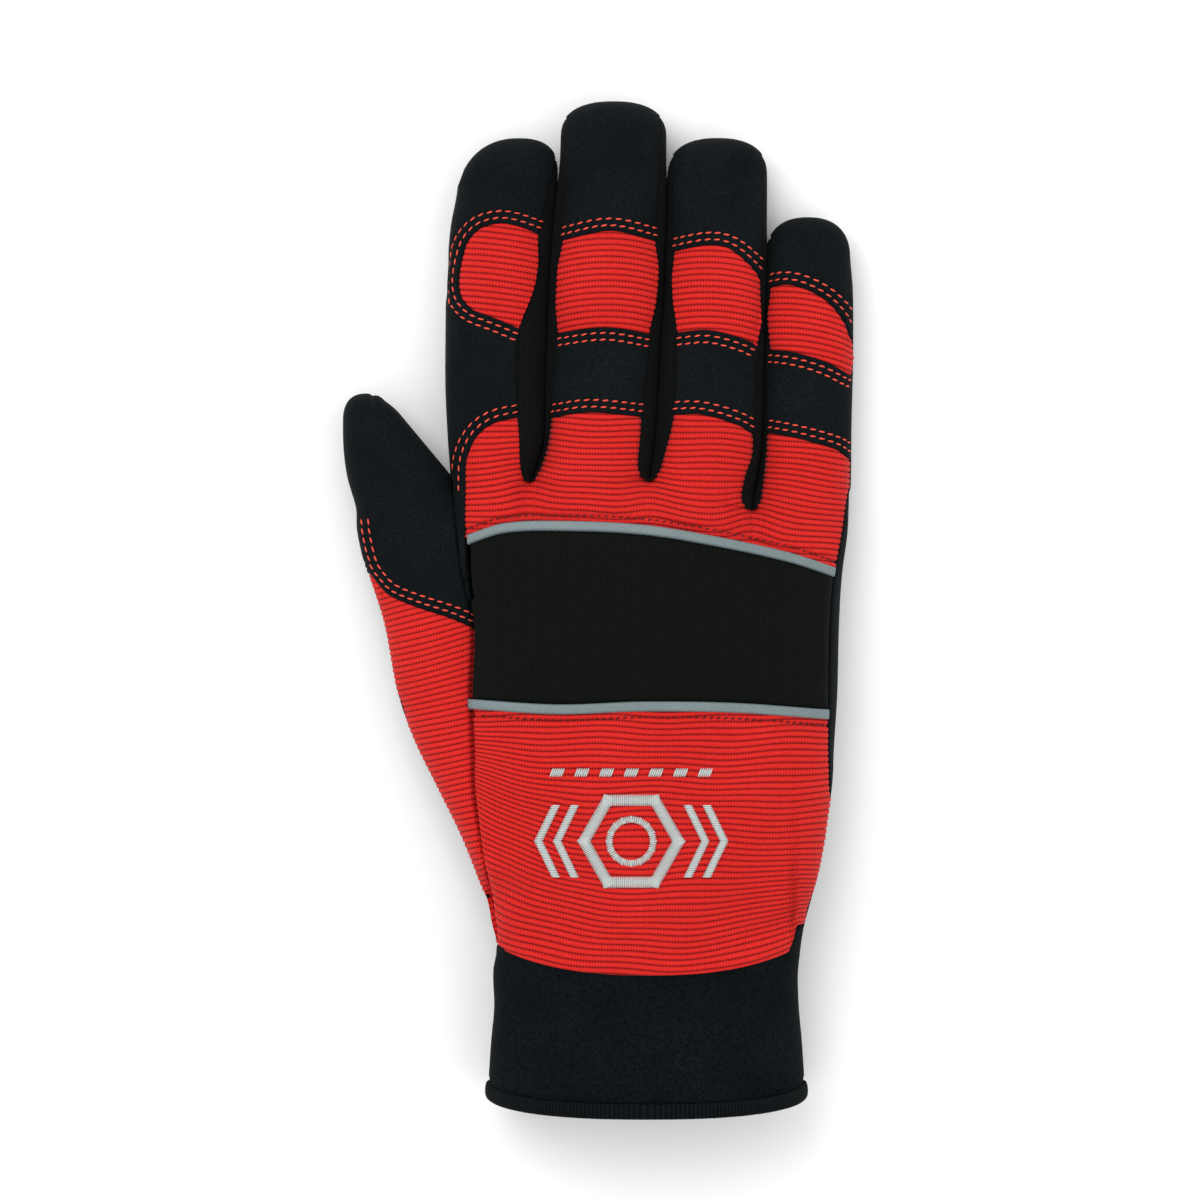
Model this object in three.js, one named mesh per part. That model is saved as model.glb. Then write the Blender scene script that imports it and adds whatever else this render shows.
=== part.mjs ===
// Mechanic glove for the right hand, lying palm down with its back up.
// Millimetres, +Z up, +Y toward the finger tips, thumb toward -X.
// Every piece is a sewn panel: a thin wall that follows the upper or lower surface of the hand.
// While the panels are made, x is 0 at the middle of the palm and y is 0 at the wrist.

import * as THREE from 'three';

// Driving dimensions
const PALM_WIDTH = 98.8;
const WRIST_WIDTH = 74.8;
const PALM_LENGTH = 116.8;
const PALM_HEIGHT = 32;
const FINGER_HEIGHT = 19;
const INDEX_LENGTH = 84.5;
const MIDDLE_LENGTH = 93.6;
const RING_LENGTH = 87.7;
const LITTLE_LENGTH = 71.9;
const INDEX_WIDTH = 24.7;
const MIDDLE_WIDTH = 24.7;
const RING_WIDTH = 24.7;
const LITTLE_WIDTH = 24.7;
const THUMB_LENGTH = 133.4;
const THUMB_WIDTH = 24.7;
const THUMB_OVERLAP = 12;
const GUSSET_OPENING = 10;
const CUFF_LENGTH = 34.8;
const CUFF_FLARE = 2.4;
const HEM_DROP = 4.4;
const BINDING_WIDTH = 3.7;
const BACK_SAG = 8.4;
const BACK_END_SIDE = 2.8;
const PIPING_WIDTH = 2.5;
const WRAP_WIDTH = 2.3;
const LEATHER_WALL = 1.4;
const KNIT_WALL = 1.4;
const PAD_WALL = 2.6;
const PIPING_WALL = 2.8;
const CUFF_WALL = 2;
const BINDING_WALL = 3;
const PAD_RISE = 0.7;
const PIPING_RISE = 1.1;
const BINDING_RISE = 0.6;
const SEAM_GAP = 0.4;
const THUMB_SEAM_GAP = 0.7;
const VALLEY_FADE = 26;
const VALLEY_LEAD = 8;

// Form of the sections
const CROWN_POWER = 2.4;
const SOLE_FULLNESS = 1.35;
const EDGE_CROWN = 0.025;
const EDGE_ROOM = EDGE_CROWN ** CROWN_POWER;
const EDGE_FADE = 0.3;
const PALM_SEAM = 0.82;
const MID_SHARE = 0.46;
const SLOPE_STEP = 0.4;
const TIP_CROWDING = 1.8;
const WRIST_TAPER = 0.4;
const PLACING_PASSES = 6;

// How far the thumb's sides run on under the hand
const OVERLAP_LEAD = 1.6;
const OVERLAP_RISE = 0.4;
const OVERLAP_AT_WRIST = 0.15;

// Colours, roughness
const LEATHER = { color: 0x15191b, roughness: 0.8, metalness: 0 };
const STRETCH = { color: 0x0e0e0f, roughness: 0.9, metalness: 0 };
const RED_KNIT = { color: 0xe02a26, roughness: 0.75, metalness: 0 };
const NEOPRENE = { color: 0x121412, roughness: 0.85, metalness: 0 };
const REFLECTIVE = { color: 0x8a979a, roughness: 0.45, metalness: 0 };
const FLEECE = { color: 0x101416, roughness: 0.95, metalness: 0 };

// Small helpers

const clamp = (value, low, high) => Math.min(high, Math.max(low, value));
const mix = (from, to, share) => from + (to - from) * share;

function ease(share) {
  const inside = clamp(share, 0, 1);
  return inside * inside * (3 - 2 * inside);
}

function smoothTable(names, rows) {
  const slope = (row, column) => {
    const before = rows[Math.max(0, row - 1)];
    const after = rows[Math.min(rows.length - 1, row + 1)];
    return (after[column] - before[column]) / (after[0] - before[0]);
  };
  return (name, at) => {
    const column = names.indexOf(name);
    const share = clamp(at, rows[0][0], rows[rows.length - 1][0]);
    let row = 0;
    while (row < rows.length - 2 && rows[row + 1][0] < share) {
      row += 1;
    }
    const span = rows[row + 1][0] - rows[row][0];
    const t = (share - rows[row][0]) / span;
    const start = rows[row][column];
    const end = rows[row + 1][column];
    const rise = t * t * (3 - 2 * t);
    const lead = t * (1 - t) * (1 - t) * span * slope(row, column);
    const trail = t * t * (t - 1) * span * slope(row + 1, column);
    return mix(start, end, rise) + lead + trail;
  };
}

// Fingers: edges and seams across, as shares of the finger's width, along shares of its length

const fingerColumns = ['along', 'leftEdge', 'leftSeam', 'rightSeam', 'rightEdge'];

const fingers = [
  {
    name: 'index',
    centre: -0.384,
    base: 1,
    length: INDEX_LENGTH,
    width: INDEX_WIDTH,
    fullness: 1,
    tipStart: 0.86,
    edges: smoothTable(fingerColumns, [
      [0, -0.45, -0.45, 0.26, 0.31],
      [0.06, -0.46, -0.46, 0.24, 0.375],
      [0.12, -0.475, -0.475, 0.235, 0.43],
      [0.27, -0.5, -0.5, 0.2, 0.445],
      [0.42, -0.5, -0.5, 0.22, 0.455],
      [0.58, -0.49, -0.49, 0.375, 0.475],
      [0.74, -0.45, -0.45, 0.43, 0.52],
      [0.86, -0.38, -0.38, 0.51, 0.57],
      [1, -0.38, -0.38, 0.51, 0.57],
    ]),
  },
  {
    name: 'middle',
    centre: -0.1,
    base: 1,
    length: MIDDLE_LENGTH,
    width: MIDDLE_WIDTH,
    fullness: 1.03,
    tipStart: 0.91,
    edges: smoothTable(fingerColumns, [
      [0, -0.77, -0.745, 0.29, 0.345],
      [0.05, -0.69, -0.675, 0.28, 0.39],
      [0.11, -0.635, -0.615, 0.3, 0.42],
      [0.24, -0.62, -0.56, 0.33, 0.45],
      [0.4, -0.595, -0.53, 0.4, 0.49],
      [0.55, -0.565, -0.5, 0.455, 0.525],
      [0.7, -0.525, -0.46, 0.45, 0.545],
      [0.86, -0.495, -0.44, 0.49, 0.555],
      [1, -0.48, -0.43, 0.49, 0.555],
    ]),
  },
  {
    name: 'ring',
    centre: 0.165,
    base: 0.973,
    length: RING_LENGTH,
    width: RING_WIDTH,
    fullness: 0.98,
    tipStart: 0.9,
    edges: smoothTable(fingerColumns, [
      [0, -0.69, -0.63, 0.25, 0.34],
      [0.05, -0.64, -0.58, 0.29, 0.385],
      [0.11, -0.615, -0.52, 0.36, 0.43],
      [0.2, -0.58, -0.44, 0.36, 0.455],
      [0.32, -0.555, -0.4, 0.385, 0.47],
      [0.45, -0.53, -0.4, 0.42, 0.48],
      [0.6, -0.5, -0.42, 0.44, 0.49],
      [0.8, -0.475, -0.43, 0.455, 0.505],
      [1, -0.47, -0.42, 0.455, 0.505],
    ]),
  },
  {
    name: 'little',
    centre: 0.39,
    base: 0.941,
    length: LITTLE_LENGTH,
    width: LITTLE_WIDTH,
    fullness: 0.88,
    tipStart: 0.86,
    edges: smoothTable(fingerColumns, [
      [0, -0.53, -0.47, 0.43, 0.43],
      [0.14, -0.46, -0.42, 0.44, 0.44],
      [0.28, -0.43, -0.39, 0.445, 0.445],
      [0.5, -0.41, -0.37, 0.46, 0.46],
      [0.75, -0.395, -0.36, 0.46, 0.46],
      [0.88, -0.385, -0.345, 0.43, 0.43],
      [1, -0.37, -0.33, 0.42, 0.42],
    ]),
  },
];

const fingerHeights = smoothTable(['along', 'top'], [
  [0, 1.16],
  [0.3, 1.02],
  [0.6, 1],
  [0.85, 0.93],
  [1, 0.88],
]);

// Palm and back: edges across as shares of the local width, heights as shares of the palm's height

const palmEdges = smoothTable(['along', 'left', 'right'], [
  [0, -0.508, 0.492],
  [0.08, -0.498, 0.498],
  [0.15, -0.478, 0.495],
  [0.22, -0.463, 0.48],
  [0.3, -0.448, 0.462],
  [0.4, -0.441, 0.457],
  [0.55, -0.445, 0.4675],
  [0.7, -0.441, 0.4725],
  [0.8, -0.465, 0.48],
  [0.9, -0.48, 0.495],
  [1, -0.4925, 0.498],
]);

const palmHeights = smoothTable(['along', 'top', 'mid'], [
  [0, 1.03, 0.5],
  [0.2, 1.04, 0.47],
  [0.5, 1.02, 0.43],
  [0.8, 0.93, 0.36],
  [1, 0.78, 0.315],
  [1.1, 0.7, 0.3],
]);

// Cuff: how far each edge flares, as shares of the flare

const cuffEdges = smoothTable(['along', 'left', 'right'], [
  [0, 0, 0],
  [0.12, -0.3, -0.2],
  [0.37, -0.2, -0.1],
  [0.6, -0.5, 0.2],
  [0.9, -0.8, 0.5],
  [1, -0.9, 0.6],
  [1.2, -0.9, 0.6],
]);

// Thumb with its gusset: outer edge as shares of the thumb's width, heights of the palm's height

const thumbEdges = smoothTable(['along', 'left'], [
  [0, 0.95],
  [0.09, 0.82],
  [0.18, 0.63],
  [0.27, 0.39],
  [0.36, 0.15],
  [0.44, -0.01],
  [0.58, -0.16],
  [0.69, -0.35],
  [0.75, -0.42],
  [0.79, -0.43],
  [0.85, -0.52],
  [0.91, -0.56],
  [1, -0.56],
]);

const thumbHeights = smoothTable(['along', 'top', 'mid'], [
  [0, 0.94, 0.49],
  [0.3, 0.83, 0.46],
  [0.6, 0.7, 0.37],
  [0.85, 0.61, 0.31],
  [1, 0.5, 0.25],
]);

const THUMB_BASE = 0.04;
const THUMB_ANCHOR = -0.625;
const THUMB_CROTCH = 0.848;
const THUMB_TIP_START = 0.955;
const THUMB_TIP_RIGHT = 0.02;
const GUSSET_START = 0.07;

// Curves that cross the back, along the palm's width, as shares of its length

const rootCurve = smoothTable(['across', 'along'], [
  [-0.5, 1],
  [-0.3, 1],
  [-0.015, 1.004],
  [0.244, 0.941],
  [0.5, 0.94],
]);

const upperPipingCurve = smoothTable(['across', 'along'], [
  [-0.457, 0.884],
  [-0.36, 0.909],
  [-0.21, 0.913],
  [-0.02, 0.905],
  [0.14, 0.884],
  [0.34, 0.848],
  [0.46, 0.816],
]);

const lowerPipingCurve = smoothTable(['across', 'along'], [
  [-0.44, 0.54],
  [-0.23, 0.53],
  [-0.02, 0.536],
  [0.21, 0.533],
  [0.44, 0.518],
]);

const thumbLeatherCurve = smoothTable(['across', 'along'], [
  [-0.7, 0.802],
  [-0.66, 0.763],
  [-0.635, 0.75],
  [-0.57, 0.729],
  [-0.5, 0.71],
  [-0.44, 0.689],
]);

// The narrow leather strip beside the knuckles, and the palm leather that wraps up beside the pad

const stripWidths = smoothTable(['along', 'width'], [
  [0.72, 0.2],
  [0.8, 0.5],
  [0.87, 0.75],
  [1.02, 1],
  [1.05, 1],
]);
const STRIP_WIDTH = 3.5;
const STRIP_START = 0.745;
const WRAP_START = 0.33;
const WRAP_END = 0.985;

// Edges at a height along the hand

function alongFinger(finger, y) {
  return (y - finger.base * PALM_LENGTH) / finger.length;
}

function fingerEdge(finger, edge, y) {
  const along = clamp(alongFinger(finger, y), 0, finger.tipStart);
  return finger.centre * PALM_WIDTH + finger.edges(edge, along) * finger.width;
}

function palmEdge(side, y) {
  if (y < 0) return palmEdge(side, 0) + cuffEdges(side, -y / CUFF_LENGTH) * CUFF_FLARE;
  const along = y / PALM_LENGTH;
  const width = mix(WRIST_WIDTH, PALM_WIDTH, ease(along / WRIST_TAPER));
  return palmEdges(side, along) * width;
}

const thumbBase = THUMB_BASE * PALM_LENGTH;
const alongThumb = (y) => (y - thumbBase) / THUMB_LENGTH;
const thumbCrotch = thumbBase + THUMB_CROTCH * THUMB_LENGTH;
const thumbTipStart = thumbBase + THUMB_TIP_START * THUMB_LENGTH;
const thumbAnchor = THUMB_ANCHOR * PALM_WIDTH;
const gussetStart = thumbBase + GUSSET_START * THUMB_LENGTH;

function thumbLeft(y) {
  const along = clamp(alongThumb(y), 0, THUMB_TIP_START);
  return thumbAnchor + thumbEdges('left', along) * THUMB_WIDTH;
}

function thumbRight(y) {
  if (y <= thumbCrotch) return palmEdge('left', y) - THUMB_SEAM_GAP;
  const share = clamp((y - thumbCrotch) / (thumbTipStart - thumbCrotch), 0, 1);
  const tip = thumbAnchor + THUMB_TIP_RIGHT * THUMB_WIDTH;
  return mix(palmEdge('left', thumbCrotch) - THUMB_SEAM_GAP, tip, share);
}

function thumbHiddenEdge(y) {
  const below = ease((thumbCrotch - y) / (OVERLAP_LEAD * THUMB_OVERLAP));
  const above = ease((y - thumbBase) / (OVERLAP_RISE * PALM_LENGTH));
  return thumbRight(y) + THUMB_OVERLAP * below * mix(OVERLAP_AT_WRIST, 1, above);
}

// Surfaces: each gives the height at x, y and how high on its crown the point lies, from 0 to 1

function crownAt(room) {
  return Math.max(0, room) ** (1 / CROWN_POWER);
}

function raised(side, mid, top, crown) {
  if (side > 0) return mid + (top - mid) * crown;
  return Math.max(0, mid - mid * SOLE_FULLNESS * crown);
}

function fingerSurface(finger, side, x, y) {
  const left = fingerEdge(finger, 'leftEdge', y);
  const right = fingerEdge(finger, 'rightEdge', y);
  const across = Math.abs((2 * x - left - right) / (right - left));
  const along = alongFinger(finger, y);
  const tip = clamp((along - finger.tipStart) / (1 - finger.tipStart), 0, 1);
  const crown = crownAt(1 - across ** CROWN_POWER - tip ** CROWN_POWER);
  const top = FINGER_HEIGHT * finger.fullness * fingerHeights('top', along);
  return { z: raised(side, MID_SHARE * top, top, crown), crown };
}

function thumbSurface(side, x, y) {
  const left = thumbLeft(y);
  const right = thumbHiddenEdge(y);
  const across = Math.abs((2 * x - left - right) / (right - left));
  const along = alongThumb(y);
  const tip = clamp((along - THUMB_TIP_START) / (1 - THUMB_TIP_START), 0, 1);
  const crown = crownAt(1 - across ** CROWN_POWER - tip ** CROWN_POWER);
  const top = thumbHeights('top', along) * PALM_HEIGHT;
  const mid = thumbHeights('mid', along) * PALM_HEIGHT;
  return { z: raised(side, mid, top, crown), crown };
}

function palmSurface(side, x, y) {
  const left = palmEdge('left', y);
  const right = palmEdge('right', y);
  const across = (2 * x - left - right) / (right - left);
  const crown = crownAt(1 - Math.abs(across) ** CROWN_POWER);
  const top = palmHeights('top', y / PALM_LENGTH) * PALM_HEIGHT;
  const mid = palmHeights('mid', y / PALM_LENGTH) * PALM_HEIGHT;
  if (across > 0 || y > thumbCrotch || y < gussetStart) return { z: raised(side, mid, top, crown), crown };
  const opened = ease((y - gussetStart) / GUSSET_OPENING);
  const edge = mix(mid, thumbSurface(side, left - THUMB_SEAM_GAP, y).z, opened);
  if (side > 0) return { z: edge + (top - edge) * crown, crown };
  return { z: Math.max(0, edge * (1 - SOLE_FULLNESS * crown)), crown };
}

function rootY(x) {
  return rootCurve('along', x / PALM_WIDTH) * PALM_LENGTH;
}

function handSurface(finger, side, x, y) {
  const share = ease((rootY(x) + VALLEY_LEAD - y) / VALLEY_FADE);
  if (share === 0) return fingerSurface(finger, side, x, y);
  const body = palmSurface(side, x, y);
  if (share === 1) return body;
  const own = fingerSurface(finger, side, x, y);
  return { z: mix(own.z, body.z, share), crown: mix(own.crown, body.crown, share) };
}

// A point of a panel with the direction that points out of the glove there

function skinPoint(surface, side, x, y, rise = 0) {
  const here = surface(side, x, y);
  const heightAt = (xx, yy) => surface(side, xx, yy).z;
  const slopeX = (heightAt(x + SLOPE_STEP, y) - heightAt(x - SLOPE_STEP, y)) / (2 * SLOPE_STEP);
  const slopeY = (heightAt(x, y + SLOPE_STEP) - heightAt(x, y - SLOPE_STEP)) / (2 * SLOPE_STEP);
  const gentle = Math.max(0, 1 - Math.hypot(slopeX, slopeY));
  const upright = side * clamp(here.crown / EDGE_FADE + gentle, 0, 1);
  const out = new THREE.Vector3(-slopeX * side, -slopeY * side, upright).normalize();
  const at = new THREE.Vector3(x, y, here.z).addScaledVector(out, rise);
  return { at, out };
}

// Solid panel: an outer skin, an inner skin one wall deeper, and rims along every free edge

function panelGeometry(points, quads, wall) {
  const positions = [];
  for (const { at } of points) positions.push(at.x, at.y, at.z);
  for (const { at, out } of points) {
    positions.push(at.x - out.x * wall, at.y - out.y * wall, at.z - out.z * wall);
  }
  const inner = points.length;
  const faces = [];
  const rims = new Map();
  const addTriangle = (a, b, c) => {
    if (a === b || b === c || a === c) return;
    faces.push(a, b, c);
    faces.push(inner + a, inner + c, inner + b);
    for (const [from, to] of [[a, b], [b, c], [c, a]]) {
      if (!rims.delete(`${to},${from}`)) rims.set(`${from},${to}`, [from, to]);
    }
  };
  for (const [a, b, c, d] of quads) {
    const first = points[a].at.distanceTo(points[c].at);
    const second = points[b].at.distanceTo(points[d].at);
    if (first <= second) {
      addTriangle(a, b, c);
      addTriangle(a, c, d);
    } else {
      addTriangle(a, b, d);
      addTriangle(b, c, d);
    }
  }
  for (const [from, to] of rims.values()) {
    faces.push(to, from, inner + from);
    faces.push(to, inner + from, inner + to);
  }
  const geometry = new THREE.BufferGeometry();
  geometry.setAttribute('position', new THREE.Float32BufferAttribute(positions, 3));
  geometry.setIndex(faces);
  geometry.computeVertexNormals();
  return geometry;
}

const glove = new THREE.Group();

function addPiece(name, finish, geometry) {
  const piece = new THREE.Mesh(geometry, new THREE.MeshStandardMaterial(finish));
  piece.name = name;
  glove.add(piece);
}

// Grid of quads over rows and columns, turned so that it faces out

function gridQuads(columns, rows, side, keep = () => true, closed = false) {
  const quads = [];
  const count = closed ? columns : columns + 1;
  for (let row = 0; row < rows; row += 1) {
    for (let column = 0; column < columns; column += 1) {
      if (!keep(column, row)) continue;
      const next = (column + 1) % count;
      const quad = [row * count + column, row * count + next];
      quad.push((row + 1) * count + next, (row + 1) * count + column);
      quads.push(side > 0 ? quad : quad.reverse());
    }
  }
  return quads;
}

const evenly = (index, count) => index / count;
const crowdedAtEnd = (index, count) => 1 - (1 - index / count) ** TIP_CROWDING;
const crowdedAtSides = (index, count) => (1 - Math.cos(Math.PI * index / count)) / 2;

// Places a point by its shares between two side lines and two cross lines

function placeBetween(region, across, along) {
  let y = mix(region.low(0), region.high(0), along);
  let x = 0;
  for (let pass = 0; pass < PLACING_PASSES; pass += 1) {
    x = mix(region.left(y), region.right(y), across);
    y = mix(region.low(x), region.high(x), along);
  }
  return { x, y };
}

function patch({ surface, side = 1, rise = 0, wall, columns, rows, rowStep = evenly, ...region }) {
  const points = [];
  for (let row = 0; row <= rows; row += 1) {
    for (let column = 0; column <= columns; column += 1) {
      const place = placeBetween(region, crowdedAtSides(column, columns), rowStep(row, rows));
      points.push(skinPoint(surface, side, place.x, place.y, rise));
    }
  }
  return panelGeometry(points, gridQuads(columns, rows, side), wall);
}

// Outline of a finger tip seen from above

const EDGE_REACH = (1 - EDGE_ROOM) ** (1 / CROWN_POWER);

function tipOutline(finger, x) {
  const start = finger.base * PALM_LENGTH + finger.tipStart * finger.length;
  const left = fingerEdge(finger, 'leftEdge', start);
  const right = fingerEdge(finger, 'rightEdge', start);
  const across = Math.abs((2 * x - left - right) / (right - left));
  const reach = crownAt(1 - EDGE_ROOM - across ** CROWN_POWER);
  return start + (1 - finger.tipStart) * finger.length * reach;
}

function outerEdge(finger, side, y) {
  const left = fingerEdge(finger, 'leftEdge', y);
  const right = fingerEdge(finger, 'rightEdge', y);
  return mix(left, right, (1 + side * EDGE_REACH) / 2);
}

function dorsalLeft(finger, y) {
  if (finger.name === 'index') return outerEdge(finger, -1, y);
  return fingerEdge(finger, 'leftSeam', y) + SEAM_GAP / 2;
}

function dorsalRight(finger, y) {
  if (finger.name === 'little') return outerEdge(finger, 1, y);
  return fingerEdge(finger, 'rightSeam', y) - SEAM_GAP / 2;
}

// Finger backs: cross seams, with places as shares of the finger's width and of its length

const seamColumns = ['place', 'along'];

const fingerSeams = {
  index: {
    bandStart: smoothTable(seamColumns, [
      [-0.5, 0.035],
      [-0.31, 0.053],
      [-0.25, 0.1],
      [-0.15, 0.14],
      [0, 0.167],
      [0.25, 0.183],
    ]),
    windowStart: smoothTable(seamColumns, [
      [-0.5, 0.5],
      [-0.25, 0.5],
      [0, 0.47],
      [0.25, 0.44],
    ]),
    windowEnd: smoothTable(seamColumns, [
      [-0.5, 0.72],
      [-0.15, 0.74],
      [0.08, 0.751],
      [0.43, 0.722],
    ]),
  },
  middle: {
    bandStart: smoothTable(seamColumns, [
      [-0.55, 0.166],
      [-0.21, 0.177],
      [0.31, 0.166],
    ]),
    windowStart: smoothTable(seamColumns, [
      [-0.51, 0.388],
      [-0.05, 0.401],
      [0.38, 0.385],
    ]),
    windowEnd: smoothTable(seamColumns, [
      [-0.45, 0.633],
      [0, 0.654],
      [0.43, 0.631],
    ]),
  },
  ring: {
    bandStart: smoothTable(seamColumns, [
      [-0.41, 0.22],
      [-0.16, 0.22],
      [0.22, 0.189],
      [0.38, 0.163],
    ]),
    windowStart: smoothTable(seamColumns, [
      [-0.39, 0.451],
      [-0.06, 0.456],
      [0.36, 0.423],
      [0.41, 0.408],
    ]),
    windowEnd: smoothTable(seamColumns, [
      [-0.41, 0.656],
      [-0.16, 0.7],
      [0.06, 0.74],
      [0.32, 0.665],
      [0.46, 0.595],
    ]),
  },
  little: {
    bandStart: smoothTable(seamColumns, [
      [-0.4, 0.261],
      [-0.11, 0.24],
      [0.31, 0.199],
      [0.42, 0.172],
    ]),
    windowStart: smoothTable(seamColumns, [
      [-0.4, 0.55],
      [-0.06, 0.543],
      [0.47, 0.474],
    ]),
    windowEnd: smoothTable(seamColumns, [
      [-0.4, 0.735],
      [-0.16, 0.773],
      [0.2, 0.735],
      [0.4, 0.653],
      [0.47, 0.57],
    ]),
  },
};

function crossSeam(finger, seam, x) {
  const place = (x - finger.centre * PALM_WIDTH) / finger.width;
  const along = fingerSeams[finger.name][seam]('along', place);
  return finger.base * PALM_LENGTH + along * finger.length;
}

const FINGER_COLUMNS = 8;
const BAND_ROWS = 4;
const KNIT_ROWS = 5;
const CAP_ROWS = 7;

function fingerPatch(finger, low, high, rows, wall, rowStep) {
  return patch({
    surface: (side, x, y) => handSurface(finger, side, x, y),
    left: (y) => dorsalLeft(finger, y),
    right: (y) => dorsalRight(finger, y),
    low: (x) => low(x) + SEAM_GAP / 2,
    high,
    columns: FINGER_COLUMNS,
    rows,
    wall,
    rowStep,
  });
}

function addFingerBack(finger) {
  const seam = (name) => (x) => crossSeam(finger, name, x);
  const trimmed = (name) => (x) => crossSeam(finger, name, x) - SEAM_GAP / 2;
  const outline = (x) => tipOutline(finger, x);
  const bandEnd = trimmed('windowStart');
  const band = fingerPatch(finger, seam('bandStart'), bandEnd, BAND_ROWS, LEATHER_WALL, evenly);
  const knit = fingerPatch(finger, seam('windowStart'), trimmed('windowEnd'), KNIT_ROWS, KNIT_WALL, evenly);
  const cap = fingerPatch(finger, seam('windowEnd'), outline, CAP_ROWS, LEATHER_WALL, crowdedAtEnd);
  addPiece(`band_${finger.name}`, LEATHER, band);
  addPiece(`knit_${finger.name}`, RED_KNIT, knit);
  addPiece(`cap_${finger.name}`, LEATHER, cap);
}

// Index finger: one leather wrap round an oval window, with a strip down beside the knuckles

const index = fingers[0];
const WRAP_COLUMNS = 8;
const WRAP_SIDE_COLUMNS = 3;
const STRIP_ROWS = 6;
const WINDOW_ROWS = 6;
const WINDOW_COLUMNS = 7;

const windowEdge = smoothTable(['along', 'place'], [
  [0.035, -0.31],
  [0.15, -0.29],
  [0.4, -0.24],
  [0.5, -0.24],
  [0.55, -0.36],
  [0.6, -0.385],
  [0.66, -0.34],
  [0.72, -0.2],
  [0.82, -0.12],
  [1, -0.05],
]);

function windowEdgeX(y) {
  return index.centre * PALM_WIDTH + windowEdge('place', alongFinger(index, y)) * index.width;
}

function stripRight(y) {
  return palmEdge('left', y) + stripWidths('width', y / PALM_LENGTH) * STRIP_WIDTH;
}

function wrapSection(row) {
  let remaining = row;
  const bandLow = (x) => crossSeam(index, 'bandStart', x) + SEAM_GAP / 2;
  const bandLeft = bandLow(windowEdgeX(index.base * PALM_LENGTH));
  if (remaining <= STRIP_ROWS) {
    const share = remaining / STRIP_ROWS;
    const low = STRIP_START * PALM_LENGTH;
    return { low: () => low, high: (x) => (share === 1 ? bandLow(x) : bandLeft), share };
  }
  remaining -= STRIP_ROWS;
  const windowLow = (x) => crossSeam(index, 'windowStart', x) - SEAM_GAP / 2;
  if (remaining <= BAND_ROWS) return { low: bandLow, high: windowLow, share: remaining / BAND_ROWS };
  remaining -= BAND_ROWS;
  const windowHigh = (x) => crossSeam(index, 'windowEnd', x) + SEAM_GAP / 2;
  if (remaining <= WINDOW_ROWS) return { low: windowLow, high: windowHigh, share: remaining / WINDOW_ROWS };
  remaining -= WINDOW_ROWS;
  return { low: windowHigh, high: (x) => tipOutline(index, x), share: crowdedAtEnd(remaining, CAP_ROWS) };
}

function wrapLeft(y) {
  if (y >= index.base * PALM_LENGTH) return outerEdge(index, -1, y);
  return mix(palmEdge('left', y), palmEdge('right', y), (1 - EDGE_REACH) / 2);
}

// Where the wrap's side part meets the leather beside the window

function dividingX(y) {
  const root = index.base * PALM_LENGTH;
  const edge = y < root ? Math.min(stripRight(y), windowEdgeX(root)) : windowEdgeX(y);
  return edge - SEAM_GAP / 2;
}

function wrapPlace(column, section) {
  const cross = { low: section.low, high: section.high };
  if (column <= WRAP_SIDE_COLUMNS) {
    const across = (column / WRAP_SIDE_COLUMNS) ** TIP_CROWDING;
    return placeBetween({ left: wrapLeft, right: dividingX, ...cross }, across, section.share);
  }
  const across = (column - WRAP_SIDE_COLUMNS) / (WRAP_COLUMNS - WRAP_SIDE_COLUMNS);
  const right = (y) => dorsalRight(index, y);
  return placeBetween({ left: dividingX, right, ...cross }, across, section.share);
}

function addIndexWrap() {
  const surface = (side, x, y) => handSurface(index, side, x, y);
  const rows = STRIP_ROWS + BAND_ROWS + WINDOW_ROWS + CAP_ROWS;
  const points = [];
  for (let row = 0; row <= rows; row += 1) {
    const section = wrapSection(row);
    for (let column = 0; column <= WRAP_COLUMNS; column += 1) {
      const place = wrapPlace(column, section);
      points.push(skinPoint(surface, 1, place.x, place.y));
    }
  }
  const windowFirst = STRIP_ROWS + BAND_ROWS;
  const keep = (column, row) => {
    if (column < WRAP_SIDE_COLUMNS) return true;
    if (row < STRIP_ROWS) return false;
    return row < windowFirst || row >= windowFirst + WINDOW_ROWS;
  };
  const quads = gridQuads(WRAP_COLUMNS, rows, 1, keep);
  addPiece('index_wrap', LEATHER, panelGeometry(points, quads, LEATHER_WALL));
  addPiece('knit_index', RED_KNIT, patch({
    surface,
    left: (y) => windowEdgeX(y) + SEAM_GAP / 2,
    right: (y) => dorsalRight(index, y),
    low: (x) => crossSeam(index, 'windowStart', x) + SEAM_GAP / 2,
    high: (x) => crossSeam(index, 'windowEnd', x) - SEAM_GAP / 2,
    columns: WINDOW_COLUMNS,
    rows: WINDOW_ROWS,
    wall: KNIT_WALL,
  }));
}

// Fourchettes: strips down the side of one finger, round the crotch and up the next

const FOURCHETTE_ROWS = 12;
const FOURCHETTE_COLUMNS = 4;
const CROTCH_CLEARANCE = 2.2;
const CROTCH_PLACES = [-0.3, -0.015, 0.244];
const LOWER_SEAM_GAPS = 1.5;
const END_SPARE = 0.03;

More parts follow.
